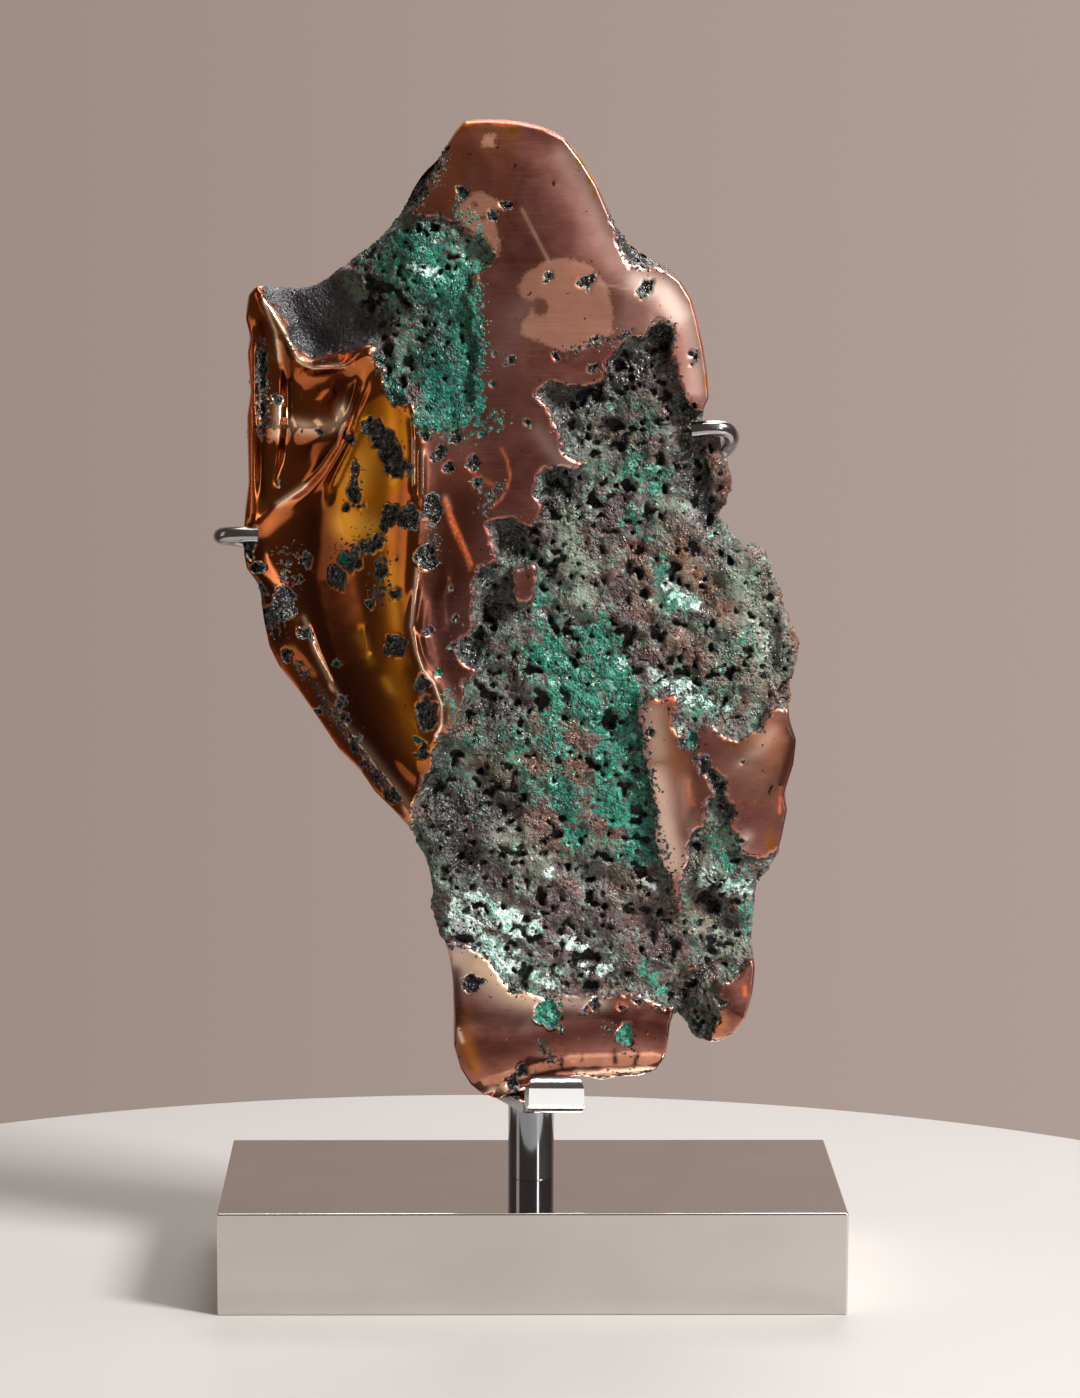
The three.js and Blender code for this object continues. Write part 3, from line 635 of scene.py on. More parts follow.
# Pale copper bands and scratches, and mostly painted highlights along ridges, rims and the foot.
PALE_AND_HIGHLIGHT_STREAKS = [
    (0.9, 3.2, [(-97, 354), (-88, 353), (-80, 355), (-77.5, 361)]),
    (0.8, 2.0, [(-104, 362), (-104.5, 350)]),
    (1.0, 1.0, [(-106, 401), (-99.3, 389), (-95.4, 380.5), (-89.2, 377), (-77, 378.8)]),
    (0.8, 1.4, [(-93, 329), (-104, 321.5)]), (0.9, 1.0, [(-109, 404), (-104.5, 392), (-103.3, 380)]),
    (0.6, 1.2, [(-93.7, 274.6), (-89.2, 261), (-83.7, 249.8), (-80.3, 244)]),
    (0.45, 2.6, [(-82.5, 236), (-68, 220.4), (-56.8, 206.9), (-47.8, 194.5)]),
    (0.9, 0.9, [
        (-47, 297), (-48.4, 283.7), (-49.5, 273.5), (-47.3, 263.3), (-44.5, 255.4), (-40, 249.8),
        (-37.2, 241.9), (-37.2, 234), (-39.5, 228.3),
    ]),
    (0.6, 0.8, [(-48.4, 350), (-48.2, 332)]), (0.5, 0.8, [(-44.7, 346), (-45, 328)]),
    (0.25, 4, [(50, 238), (51, 220)]), (0.5, 5, [(51, 212), (54, 195), (58, 176)]),
    (0.18, 10, [(92, 226), (90, 214)]), (1.0, 6, [(-22, 133), (-15, 128), (-8, 123.5), (0, 120.5)]),
    (1.0, 1.7, [(20, 87.5), (30, 86), (40, 87), (50, 88)]), (1.0, 2.4, [(-16, 81), (-11, 81)]),
    (0.8, 0.9, [(-30, 106), (-28.5, 101)]), (0.7, 1.2, [(72, 101), (80, 102)]),
    (0.7, 1.2, [(-35.5, 326), (-34, 322)]), (0.55, 0.7, [(-5, 442), (6, 421)]),
    (0.5, 0.5, [(22, 413), (45, 409)]), (0.5, 0.5, [(50, 412), (56, 402)]),
]
# Fresh orange scratches, and painted orange glints along rims and edges.
ORANGE_SCRATCH_AND_GLINT_STREAKS = [
    (1.0, 1.2, [(-35.5, 325), (-33, 316), (-31, 311)]), (0.9, 1.0, [(-34, 321), (-30, 311), (-25, 299)]),
    (0.6, 0.9, [(-32, 312), (-27.5, 303), (-25.5, 297)]),
    (0.7, 0.7, [(-13, 346), (-10.5, 341), (-9.4, 335), (-10.5, 330), (-13, 325.5), (-17, 322)]),
    (0.5, 1.2, [(-24, 336), (-16, 331)]), (0.8, 1.0, [(-115, 385), (-115, 318)]),
    (0.9, 1.2, [(-73.5, 381), (-71, 379)]), (0.7, 1.4, [(-29, 476), (-8, 476), (4, 474)]),
    (0.6, 0.9, [(14, 469), (20, 461), (26, 451)]), (0.7, 0.9, [(64.5, 405), (69.5, 386), (71.5, 367)]),
    (0.6, 1.8, [(50, 243), (57, 244)]), (0.8, 0.8, [(101.5, 207), (101.2, 198), (100.7, 191)]),
    (0.8, 1.2, [(87, 129), (88, 120)]), (0.5, 1.6, [(63, 210), (65, 200)]),
    (0.6, 1.6, [(36, 117), (37.5, 117)]), (0.6, 1.0, [(20, 115), (24, 115)]),
    (0.6, 1.0, [(35, 116), (39, 116)]), (0.4, 1.4, [(-118, 290), (-108, 262), (-88, 232), (-62, 202)]),
]
# Dark tarnish films, and painted shade where the glossy copper faces the dark room, as on the foot's dark
# band and the right margin.
DARK_FILM_AND_SHADE_STREAKS = [
    (0.9, 13, [(-86, 312), (-88, 290), (-82, 262), (-70, 232), (-58, 212)]),
    (0.6, 6, [(-92, 343), (-84, 345)]), (0.8, 2.2, [(-100, 385), (-99.5, 352)]),
    (0.8, 2.0, [(-110.5, 395), (-110.5, 325)]), (0.7, 5, [(-78, 371), (-74, 366)]),
    (0.8, 1.6, [(-72, 371), (-76, 359), (-81.5, 346), (-89, 335)]), (0.5, 8, [(-66, 290), (-68, 258)]),
    (0.82, 13, [(-28, 322), (-33, 305), (-34, 272), (-34, 250)]), (0.35, 16, [(-10, 460), (-4, 430)]),
    (0.4, 14, [(-8, 366), (-8, 345), (-12, 328)]),
    (0.95, 8, [(-26, 96), (-10, 99), (10, 104), (30, 106), (52, 106)]),
    (0.5, 4, [(-78, 402), (-70, 396)]), (0.9, 2.4, [(-31, 130), (-30.5, 115), (-29, 100), (-25, 90)]),
    (1.0, 2.6, [(106, 232), (106.5, 226), (104, 217), (101.5, 209)]),
    (0.5, 8, [(68, 226), (72, 222), (80, 222)]), (0.6, 5, [(68, 214), (70, 200)]),
    (0.6, 2.5, [(62, 231), (67, 216), (66, 200), (62, 188)]), (0.5, 9, [(86, 208), (92, 198), (96, 190)]),
    (0.8, 4, [(80, 122), (83, 113)]), (0.6, 3.5, [(100, 214), (96, 204), (88, 194)]),
    (0.5, 3, [(76, 230), (84, 220), (96, 214)]), (0.9, 7, [(-115, 306), (-110, 286), (-104, 268)]),
]
# Painted gold highlights on the glossy wing.
PAINTED_GLEAM_STREAKS = [
    (0.9, 6, [(-75, 314), (-66, 313)]), (0.6, 6, [(-72, 330), (-60, 352)]),
    (0.7, 1.8, [(-57, 332), (-53, 345)]), (0.6, 3, [(-59, 250), (-57, 246)]),
    (0.5, 2.5, [(-69, 268), (-66, 258)]), (0.4, 3, [(-57, 296), (-56, 276)]),
]
OLIVE_STREAKS = [
    (0.8, 5, [(-28, 470), (-34, 445)]), (0.7, 4, [(-18, 472), (-23, 446)]),
    (0.6, 4, [(-10, 474), (-13, 440)]), (0.5, 6, [(-42, 446), (-30, 456)]),
    (0.6, 10, [(-30, 330), (-36, 300)]), (0.7, 4, [(94, 236), (100, 228), (100, 216)]),
    (0.95, 7, [(50, 242), (54, 230), (58, 214)]), (0.7, 4, [(60, 212), (64, 196)]),
    (0.7, 5, [(84, 226), (94, 228), (100, 222)]), (0.6, 1.5, [(-27, 106), (-26, 96), (-22, 86)]),
]
# Painted whitish-pink sheen and highlights on the rims, the shoulder, the windows and the foot.
ROSE_SHEEN_STREAKS = [
    (0.55, 5, [(49, 238), (51, 222)]), (0.85, 5, [(51, 212), (54, 195), (58, 176)]),
    (0.4, 3, [(62, 210), (64, 190)]), (0.35, 2.5, [(84, 217), (92, 222), (98, 231)]),
    (1.0, 10, [(-28, 136), (-20, 130), (-10, 125), (0, 121)]), (0.8, 4, [(10, 118), (28, 117)]),
    (0.7, 2.5, [(85, 183), (88, 187)]), (0.35, 7, [(14, 462), (22, 448), (30, 430), (38, 417)]),
    (0.5, 5, [(60, 404), (65, 388), (66, 370)]), (1.0, 6, [(42, 413), (52, 409), (59, 400)]),
    (0.2, 9, [(-6, 404), (-12, 386)]), (0.2, 9, [(40, 400), (46, 396)]),
    (0.4, 3.5, [(2, 352), (8, 344), (14, 339)]),
]

# Thin dark drips across the foot's bright band.
DRIP_STREAKS = [
    (0.9, 1.0, [(0, 86.5), (8, 88), (18, 89.5)]), (0.9, 0.8, [(12.5, 95), (12.3, 89)]),
    (0.9, 1.1, [(34, 98), (34.5, 92)]), (0.9, 0.9, [(44, 97), (42.5, 91)]),
    (0.7, 0.6, [(20.5, 98), (20.7, 93)]), (0.7, 0.6, [(5, 106), (5, 92)]),
]

# Patches of fresher, lighter copper on the upper face.
LIGHT_PATCHES = [
    [
        (5, 421), (12, 422.5), (19, 420.5), (24, 418), (27, 414), (29.5, 409), (31, 402), (31.5, 393),
        (29, 391), (24, 388.5), (18, 385.5), (10, 386), (3, 389), (-5, 392), (-4, 397), (-1, 401),
        (1, 405), (-5, 407), (-6, 411), (-3, 416), (0, 418),
    ],
    [
        (-30, 443), (-24, 448), (-20, 448), (-17, 446), (-13, 444), (-15, 441.5), (-20, 441), (-22, 438),
        (-16, 436), (-14, 430), (-14.5, 424), (-17, 426), (-19, 430), (-25, 434), (-29, 437), (-31, 441),
    ],
    [(-21, 467), (-20, 471), (-16, 471), (-16, 467)],
]

# The bright band along the bottom of the foot: a painted reflection of the floor on fresher copper.
FOOT_REFLECTION_BAND = [
    (-21, 84.5), (-15, 87), (-10, 88.7), (-1, 91.3), (5, 93), (10, 94.3), (20, 96), (30, 96.3), (40, 96.5),
    (50, 96.8), (54, 95), (52, 91.5), (46, 90.5), (30, 90.3), (18, 90), (10, 88.3), (0, 86.3), (-9, 83.5),
    (-20, 82),
]

# Gaps in those patches, as x, z, half width, half height.
PATCH_GAPS = [(2.5, 403, 3.6, 4), (-24, 443.5, 1.6, 1.4)]

# The flat gold plane of the wing, and the whole glossy wing left of its crest.
GOLD_PLANE = [
    (-61.3, 367), (-54.6, 365.2), (-51, 355), (-50, 346), (-51, 334.8), (-54.6, 328), (-60.7, 322.3),
    (-61.3, 314.4), (-65.8, 309.4), (-71.3, 306.5), (-77, 310), (-79.2, 319), (-80.3, 328), (-78, 337),
    (-73.6, 348.3), (-72.5, 355), (-68, 363),
]
WING_LOOP = [
    (-112, 420), (-100, 392), (-92, 379), (-66, 387), (-56, 368), (-47, 362), (-44, 340), (-44, 318),
    (-45, 298), (-46, 275), (-43, 257), (-36, 246), (-36, 234), (-40, 222), (-46, 196), (-60, 184),
    (-140, 240), (-140, 420),
]

# Minerals of the crust: strength, half width, line.
MALACHITE_STREAKS = [
    (1.25, 12, [(-48, 425), (-36, 405), (-36, 380), (-34, 365)]),
    (1.4, 8, [(-28, 414), (-30, 392), (-30, 364)]), (0.7, 9, [(-62, 418), (-50, 414)]),
    (0.95, 10, [(5, 262), (18, 250), (28, 225), (34, 195)]),
    (1.0, 10, [(26, 268), (38, 240), (42, 205), (44, 180)]), (0.85, 9, [(8, 244), (10, 215), (16, 185)]),
    (0.6, 8, [(-8, 224), (0, 200)]), (0.8, 7, [(40, 342), (50, 332)]), (0.75, 7, [(52, 296), (58, 282)]),
    (0.7, 5, [(2, 292), (6, 268)]), (0.6, 7, [(-30, 244), (-24, 226)]), (0.6, 6, [(76, 184), (86, 164)]),
    (0.8, 4, [(46, 130), (54, 122)]), (0.5, 5, [(88, 156), (90, 148)]), (0.45, 6, [(46, 356), (34, 362)]),
    (0.4, 9, [(84, 262), (70, 250)]), (0.5, 6, [(62, 246), (72, 238)]),
    (0.45, 8, [(-34, 220), (-26, 200)]), (0.4, 9, [(70, 280), (88, 270)]),
    (0.45, 6, [(40, 318), (48, 310)]), (0.45, 6, [(58, 162), (68, 150)]),
]
BLOOM_STREAKS = [
    (1.0, 5, [(-24, 161), (-18, 156), (-10, 150), (0, 148)]), (1.0, 5, [(-28, 152), (-20, 142), (-10, 135)]),
    (0.9, 4, [(-32, 158), (-30, 148)]),
    (0.8, 3, [(-8, 134), (0, 128), (8, 124)]), (1.0, 3.5, [(15, 143), (20, 139)]),
    (0.8, 3, [(20, 133), (30, 131)]), (0.8, 4, [(50, 252), (62, 247)]), (0.7, 2.5, [(6, 171), (9, 170)]),
    (0.6, 3, [(46, 169), (50, 167)]), (0.7, 5, [(70, 170), (88, 164)]), (0.5, 4, [(-48, 420), (-40, 416)]),
    (0.6, 3, [(62, 243), (78, 240)]), (0.6, 5, [(56, 290), (68, 280)]), (0.5, 4, [(66, 190), (72, 180)]),
    (0.45, 4, [(92, 276), (98, 262)]), (0.5, 3, [(28, 262), (36, 258)]),
]
RUST_STREAKS = [
    (0.95, 7, [(60, 304), (70, 290), (80, 278)]), (0.9, 6, [(10, 232), (24, 226)]),
    (0.9, 6, [(0, 218), (24, 214)]), (0.8, 6, [(44, 304), (46, 280)]), (0.7, 8, [(60, 268), (72, 256)]),
    (0.7, 9, [(36, 166), (54, 150)]), (0.7, 7, [(-34, 246), (-28, 232)]),
    (0.6, 6, [(48, 368), (40, 376)]), (0.6, 6, [(2, 240), (8, 226)]), (0.6, 6, [(64, 180), (70, 150)]),
    (0.6, 5, [(74, 126), (68, 120)]), (0.8, 7, [(0, 196), (12, 184)]), (0.6, 7, [(-20, 216), (-10, 206)]),
    (1.0, 6, [(74, 346), (78, 334), (77, 322)]),
    (0.9, 3, [(104, 282), (108, 266), (108, 256), (105, 244)]), (0.6, 6, [(24, 196), (34, 188)]),
    (0.5, 6, [(30, 350), (40, 344)]), (0.5, 6, [(86, 254), (100, 246)]),
]
PLUM_STREAKS = [
    (0.9, 9, [(-24, 172), (4, 160), (34, 150), (54, 140)]), (0.7, 8, [(30, 328), (40, 316)]),
    (0.7, 8, [(4, 258), (-4, 246)]), (0.6, 8, [(30, 290), (40, 272)]), (0.7, 6, [(62, 312), (72, 306)]),
    (0.6, 8, [(-30, 210), (-20, 190)]), (0.7, 7, [(8, 142), (38, 136)]), (0.5, 9, [(-84, 420), (-66, 420)]),
]
PALE_GREEN_STREAKS = [
    (0.9, 5, [(14, 310), (18, 296), (22, 280)]), (0.6, 6, [(8, 330), (14, 318)]),
    (0.5, 8, [(12, 362), (22, 352)]), (0.75, 9, [(86, 286), (94, 266), (92, 254)]),
    (0.4, 9, [(60, 310), (68, 300)]), (0.7, 6, [(64, 196), (70, 176), (80, 186)]),
    (0.4, 8, [(-16, 190), (0, 178)]), (0.5, 6, [(-88, 398), (-74, 406)]),
    (0.5, 5, [(70, 150), (84, 140)]),
]

# Dark, deeper pockets of the crust.
SHADE_STREAKS = [
    (0.8, 9, [(50, 392), (46, 380), (36, 376), (24, 366)]), (0.7, 7, [(14, 362), (12, 350)]),
    (0.9, 6, [(63, 362), (64, 345), (66, 330), (73, 318)]), (0.8, 6, [(8, 333), (14, 326), (4, 322)]),
    (0.8, 6, [(-10, 312), (-8, 304)]), (0.8, 6, [(-18, 292), (-16, 276)]),
    (0.8, 6, [(-26, 264), (-22, 258)]), (0.6, 8, [(-20, 240), (-8, 242)]),
    (0.7, 8, [(-40, 206), (-28, 198), (-14, 196)]), (0.6, 8, [(-30, 180), (-18, 168)]),
    (0.5, 8, [(20, 172), (40, 160), (56, 148)]), (0.7, 5, [(68, 204), (66, 190), (64, 172)]),
    (0.7, 5, [(75, 157), (82, 150)]), (0.8, 4, [(60, 117), (66, 124), (72, 130)]),
    (0.6, 5, [(66, 115), (72, 108)]), (0.35, 7, [(73, 346), (77, 334), (76, 322)]),
    (0.7, 10, [(-44, 214), (-36, 196), (-30, 178)]), (0.6, 6, [(-46, 400), (-40, 392)]),
    (0.5, 6, [(-66, 400), (-62, 392)]), (0.6, 5, [(98, 276), (100, 258)]),
    (0.8, 7, [(32, 440), (42, 424), (58, 419)]), (0.7, 7, [(-38, 468), (-48, 448), (-58, 441)]),
]

# Stretches of the crust in a darker tone.
DUSK_STREAKS = [
    (0.8, 16, [(14, 358), (36, 368), (48, 384)]), (0.8, 12, [(30, 350), (52, 350), (64, 336)]),
    (0.85, 14, [(-38, 222), (-34, 200), (-30, 178)]), (0.6, 12, [(-14, 236), (-10, 206)]),
    (0.7, 10, [(-66, 414), (-58, 396)]), (0.6, 6, [(-44, 402), (-38, 386)]),
    (0.4, 8, [(74, 346), (78, 330)]), (0.6, 9, [(-10, 300), (-16, 276)]),
    (0.5, 10, [(10, 318), (30, 310)]), (0.6, 7, [(66, 200), (64, 170)]), (0.7, 6, [(66, 116), (72, 106)]),
    (0.5, 8, [(30, 152), (56, 146)]), (0.9, 8, [(32, 440), (42, 424), (58, 419)]),
    (0.8, 8, [(-38, 468), (-48, 448), (-60, 440)]),
]

# Where loose malachite grains lie on the copper beside the field.
MALACHITE_DUST = [
    (0.9, 4, [(-24, 411), (-23, 395), (-22, 380), (-23, 364)]),
    (0.9, 5, [(-26, 359), (-36, 355), (-46, 358)]), (0.6, 4, [(-30, 442), (-22, 434)]),
    (0.5, 6, [(-26, 352), (-16, 358)]), (0.7, 4, [(-58, 376), (-54, 366)]),
    (0.6, 4, [(-34, 246), (-32, 236)]), (0.5, 3, [(-64, 384), (-60, 376)]),
]

# Fine black pits peppered over the copper.
PEPPER_STREAKS = [
    (0.55, 4.0, [(45, 240), (46, 225), (49, 205), (52, 185), (56, 172), (59, 158)]),
    (0.8, 3, [(60, 226), (70, 217), (76, 207), (79, 198)]), (0.7, 3, [(14, 385), (30, 390), (38, 392)]),
    (0.7, 4, [(-20, 322), (-14, 330)]), (0.7, 3, [(-73, 338), (-72, 322)]),
    (0.6, 5, [(-66, 308), (-78, 300)]), (0.6, 4, [(-110, 385), (-110, 350)]),
    (0.6, 5, [(-60, 300), (-64, 284)]), (0.5, 6, [(-100, 300), (-104, 270)]),
    (0.7, 3, [(-96, 256), (-80, 232), (-60, 206)]), (0.6, 4, [(4, 100), (10, 92)]),
    (0.6, 2, [(20, 86), (32, 85), (50, 88)]), (0.5, 4, [(30, 108), (40, 98)]),
    (0.6, 4, [(-40, 300), (-40, 312)]), (0.5, 5, [(-32, 350), (-40, 342)]),
    (0.6, 3, [(-40, 452), (-36, 462)]),
]

# The grey hollow at the upper left.
STONE_LOOP = [
    (-112, 420), (-92, 424), (-82, 424), (-78, 414), (-72, 406), (-64, 398), (-62, 392), (-60, 386),
    (-66, 382), (-92, 374), (-104, 392), (-112, 406),
]

# Nugget: relief and mesh

# The slab's outline seen from the front.
OUTLINE = [
    (-28.5, 477.5), (-19, 478), (-8, 477.5), (4, 475), (13, 470.5), (20, 461.5), (26, 452), (31, 440.5),
    (35, 432.5), (41, 427), (50.5, 421), (59.5, 414), (64.5, 406), (67, 397), (69.5, 386), (71, 376),
    (72, 366), (69.5, 361), (70, 354), (74, 348), (79, 341.5), (81.5, 335), (79.5, 322.5), (77, 317.5),
    (80, 310.5), (87, 305.5), (93, 305), (96, 297.5), (101, 287.5), (105, 276), (108.5, 268),
    (109, 260.5), (107, 253.5), (105.3, 244), (106, 233), (108.8, 226.5), (107.8, 216), (104, 203.5),
    (105.5, 197.5), (103.5, 187), (101, 177), (96, 171), (91.8, 162), (91.2, 149), (90.5, 139.5),
    (93, 131.5), (92, 121), (89, 109.5), (83.5, 103), (77, 99.5), (72.5, 99), (66.5, 102.5),
    (62.5, 108.5), (60.2, 115), (58, 108), (57.3, 101), (56, 93.5), (52, 87), (44, 84), (36, 84.5),
    (29, 82), (21, 85), (10, 82.5), (0, 78.5), (-6, 74.8), (-13, 73.8), (-20, 76.5), (-26, 82),
    (-30.3, 89), (-32.8, 98), (-32.6, 110), (-33, 125), (-34.5, 135.5), (-37, 144), (-40.8, 155),
    (-41.7, 163), (-43.2, 175), (-46.3, 183), (-51, 189.5), (-58, 196.5), (-65, 202.5), (-71.5, 211.5),
    (-80, 219.5), (-88.5, 232), (-97, 244), (-104.5, 253), (-109, 262), (-111.5, 275), (-113.5, 288),
    (-118, 294.5), (-119.5, 304), (-118.5, 318), (-117, 330), (-117.5, 357), (-115.8, 367), (-117.3, 383),
    (-115.8, 389), (-118, 396.5), (-116.5, 407), (-112.5, 411.8), (-107, 410.3), (-95, 409.5),
    (-87.5, 411), (-79, 417.5), (-69, 423.5), (-60, 430.5), (-55, 438), (-51.5, 446), (-45, 456.5),
    (-38, 463), (-33, 471.5),
]
FACE_DEPTH = 13.0
FACE_CROWN = 3.0
CROWN_CENTRE = (8, 400)
CROWN_REACH = 75
EDGE_ROUND = 2.0
FACE_ROLL = 3.0
ROLL_REACH = 15.0
FOOT_TOP = 124.0
FOOT_MIDDLE = 104.0
FOOT_ROLL = 5.0
FOOT_ROLL_REACH = 12.0
FOOT_ROLL_LINE = [(-25, 85.5), (10, 95.5), (50, 98)]
FOOT_LEAN = 4.0
WING_CREST_X = -47.0
WING_SPAN = 70.0
WING_SET_BACK = 16.0
WING_THINNING = 4.0

# Broad folds of the slab: height, half width, line.
BROAD_FOLDS = [
    (-6, 15, [(-90, 372), (-90, 330), (-93, 290), (-84, 252), (-62, 216)]),
    (3, 6, [(-112, 406), (-111, 370), (-112, 330), (-116, 305), (-124, 285)]),
    (4, 5, [(-111, 407), (-103, 390), (-94, 378), (-78, 378), (-68, 384)]),
    (3, 6, [(-108, 354), (-94, 354), (-80, 358)]),
    (2.5, 6, [(-71, 382), (-76, 362), (-86, 338), (-100, 325), (-112, 315), (-126, 306)]),
    (3, 6, [(-118, 300), (-106, 284), (-94, 262), (-78, 238), (-62, 212), (-50, 196)]),
    (2.5, 6, [(-50, 364), (-49, 330), (-51, 290), (-46, 258), (-38, 240), (-43, 222)]),
]

# The knob of crust that fills the bend of the right prong.
KNOB_CENTRE = (0.0716, 0.004, 0.3465)
KNOB_SIZE = Vector((0.0055, 0.008, 0.0065))
SKIN_STEP = 1.9 * MM
NUGGET_TRIANGLES = 195000
CRUST_STEP = 1.2
STEP_BEVEL = 0.8
RIM_REACH = 3.5
HOLLOW_DEPTH = 3.6
POCKET_DEPTH = 2.4
BACK_PATCH = 38
THIN_STREAK = 1.3
THIN_REACH = 2.0
CRUST_REACH = 2.5
PIT_REACH = 2.0
SKIN_ROUNDS = 3
POLISH_ROUNDS = 14


def line_nearest(points, line):
    """Distance in millimetres from each point to a line of points, and how far along it that is, 0 to 1."""
    ends = np.array(line, float)
    lengths = np.hypot(*np.diff(ends, axis=0).T)
    starts = np.concatenate([[0], np.cumsum(lengths)])
    best = np.full(len(points), np.inf)
    share = np.zeros(len(points))
    for i, length in enumerate(lengths):
        run = ends[i + 1] - ends[i]
        along = np.clip(((points - ends[i]) @ run) / max(length**2, 1e-9), 0, 1)
        distance = np.hypot(*(points - ends[i] - along[:, None] * run).T)
        nearer = distance < best
        best = np.where(nearer, distance, best)
        share = np.where(nearer, (starts[i] + along * length) / starts[-1], share)
    return best, share


def line_distance(points, line):
    return line_nearest(points, line)[0]


def fold(points, tall, half, line):
    """A ridge along a line that dies away at both of its ends."""
    distance, share = line_nearest(points, line)
    taper = smoothstep(share, 0, 0.2) * smoothstep(1 - share, 0, 0.2)
    return tall * taper * np.exp(-((distance / half) ** 2))


def loop_distance(points, loop):
    """Distance in millimetres to a closed loop, above zero inside it and below zero outside."""
    inside = np.zeros(len(points), bool)
    for (ax, az), (bx, bz) in zip(loop, loop[1:] + loop[:1]):
        if az == bz:
            continue
        crosses = (az > points[:, 1]) != (bz > points[:, 1])
        inside ^= crosses & (points[:, 0] < ax + (points[:, 1] - az) / (bz - az) * (bx - ax))
    distance = line_distance(points, loop + loop[:1])
    return np.where(inside, distance, -distance)


def oval_distance(points, ovals):
    """About the distance in millimetres into the nearest of a list of ovals, above zero inside."""
    best = np.full(len(points), -50.0)
    for x, z, wide, high in ovals:
        radius = np.hypot((points[:, 0] - x) / wide, (points[:, 1] - z) / high)
        best = np.maximum(best, (1 - radius) * min(wide, high))
    return best


def streaks(points, strokes):
    """The strongest of a list of soft strokes at each point, from 0 to 1."""
    best = np.zeros(len(points))
    for strength, half, line in strokes:
        best = np.maximum(best, strength * np.exp(-((line_distance(points, line) / half) ** 2)))
    return best


def smoothstep(value, low, high):
    t = np.clip((value - low) / (high - low), 0, 1)
    return t * t * (3 - 2 * t)


def noise_at(places, size, shift=0.0):
    """Smooth noise from about -1 to 1 whose lumps are about size millimetres across."""
    offset = Vector((shift, -shift, 0.5 * shift))
    return np.array([noise.noise(Vector(p) / size + offset) for p in places])


def crumbs_at(places, size):
    """Rounded crumbs about size millimetres across: 0 in the cracks between them, 1 on their tops."""
    gap = np.empty(len(places))
    for i, place in enumerate(places):
        distances, _ = noise.voronoi(Vector(place) / size)
        gap[i] = distances[1] - distances[0]
    return np.sqrt(np.clip(gap / 0.7, 0, 1))


def mesh_places(mesh):
    places = np.empty(len(mesh.vertices) * 3)
    mesh.vertices.foreach_get("co", places)
    return places.reshape(-1, 3) / MM


def mesh_normals(mesh):
    normals = np.empty(len(mesh.vertices) * 3)
    mesh.vertices.foreach_get("normal", normals)
    return normals.reshape(-1, 3)


def front_share(normals):
    """1 on the front and the rim, 0 on the back."""
    return 1 - smoothstep(normals[:, 1], 0.05, 0.5)


def crust_distance(places, normals):
    """Millimetres into the crust, above zero inside it: the traced fields in front, patches behind."""
    points = places[:, [0, 2]]
    field = np.max([loop_distance(points, loop) for loop in CRUST_LOOPS], axis=0)
    island = np.max([loop_distance(points, loop) for loop in POLISHED_LOOPS], axis=0)
    front = np.minimum(field, -island)
    behind = (noise_at(places, BACK_PATCH, 3.1) + 0.24) * 22
    share = front_share(normals)
    return np.clip(front * share + behind * (1 - share), -12, 12)


def even_out(bm, verts, rounds):
    """Smooths the points, in each round half of the way to the middle of their neighbours."""
    for _ in range(rounds):
        bmesh.ops.smooth_vert(
            bm, verts=verts, factor=0.5, use_axis_x=True, use_axis_y=True, use_axis_z=True
        )


def skinned_nugget():
    """The nugget's solid under an even skin of small faces, smooth where the copper is polished."""
    bm = bmesh.new()
    bm.from_mesh(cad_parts["nugget"].data)
    bmesh.ops.remove_doubles(bm, verts=bm.verts, dist=1e-6)
    knob = Matrix.Translation(KNOB_CENTRE) @ Matrix.Diagonal(KNOB_SIZE).to_4x4()
    bmesh.ops.create_icosphere(bm, subdivisions=3, radius=1, matrix=knob)
    piece = new_piece("nugget_skin", mesh_of(bm, "nugget_skin"))
    skin = piece.modifiers.new("even_skin", "REMESH")
    skin.mode = "VOXEL"
    skin.voxel_size = SKIN_STEP
    apply_modifiers(piece)

    mesh = piece.data
    places, normals = mesh_places(mesh), mesh_normals(mesh)
    points = places[:, [0, 2]]
    crust = crust_distance(places, normals)
    wing = loop_distance(points, WING_LOOP) * front_share(normals)
    pits = oval_distance(points, BLACK_PITS + GREEN_CHIPS)
    bm = bmesh.new()
    bm.from_mesh(mesh)
    bm.verts.ensure_lookup_table()
    polished = [v for v in bm.verts if crust[v.index] < -1]
    even_out(bm, bm.verts, SKIN_ROUNDS)
    even_out(bm, polished, POLISH_ROUNDS)
    front = front_share(normals) > 0.5
    thin = np.zeros(len(places), bool)
    for _, half, line in PALE_AND_HIGHLIGHT_STREAKS + ORANGE_SCRATCH_AND_GLINT_STREAKS:
        if half < THIN_STREAK:
            thin |= line_distance(points, line) < THIN_REACH
    rim = loop_distance(points, OUTLINE) < RIM_REACH
    foot = places[:, 2] < FOOT_TOP
    detailed = front & ((crust > -CRUST_REACH) | (wing > 0) | (pits > -PIT_REACH) | thin | rim | foot)
    edges = {e for f in bm.faces if any(detailed[v.index] for v in f.verts) for e in f.edges}
    bmesh.ops.subdivide_edges(bm, edges=list(edges), cuts=1, use_grid_fill=True)
    even_out(bm, bm.verts, SKIN_ROUNDS)
    bm.to_mesh(mesh)
    bm.free()
    return piece


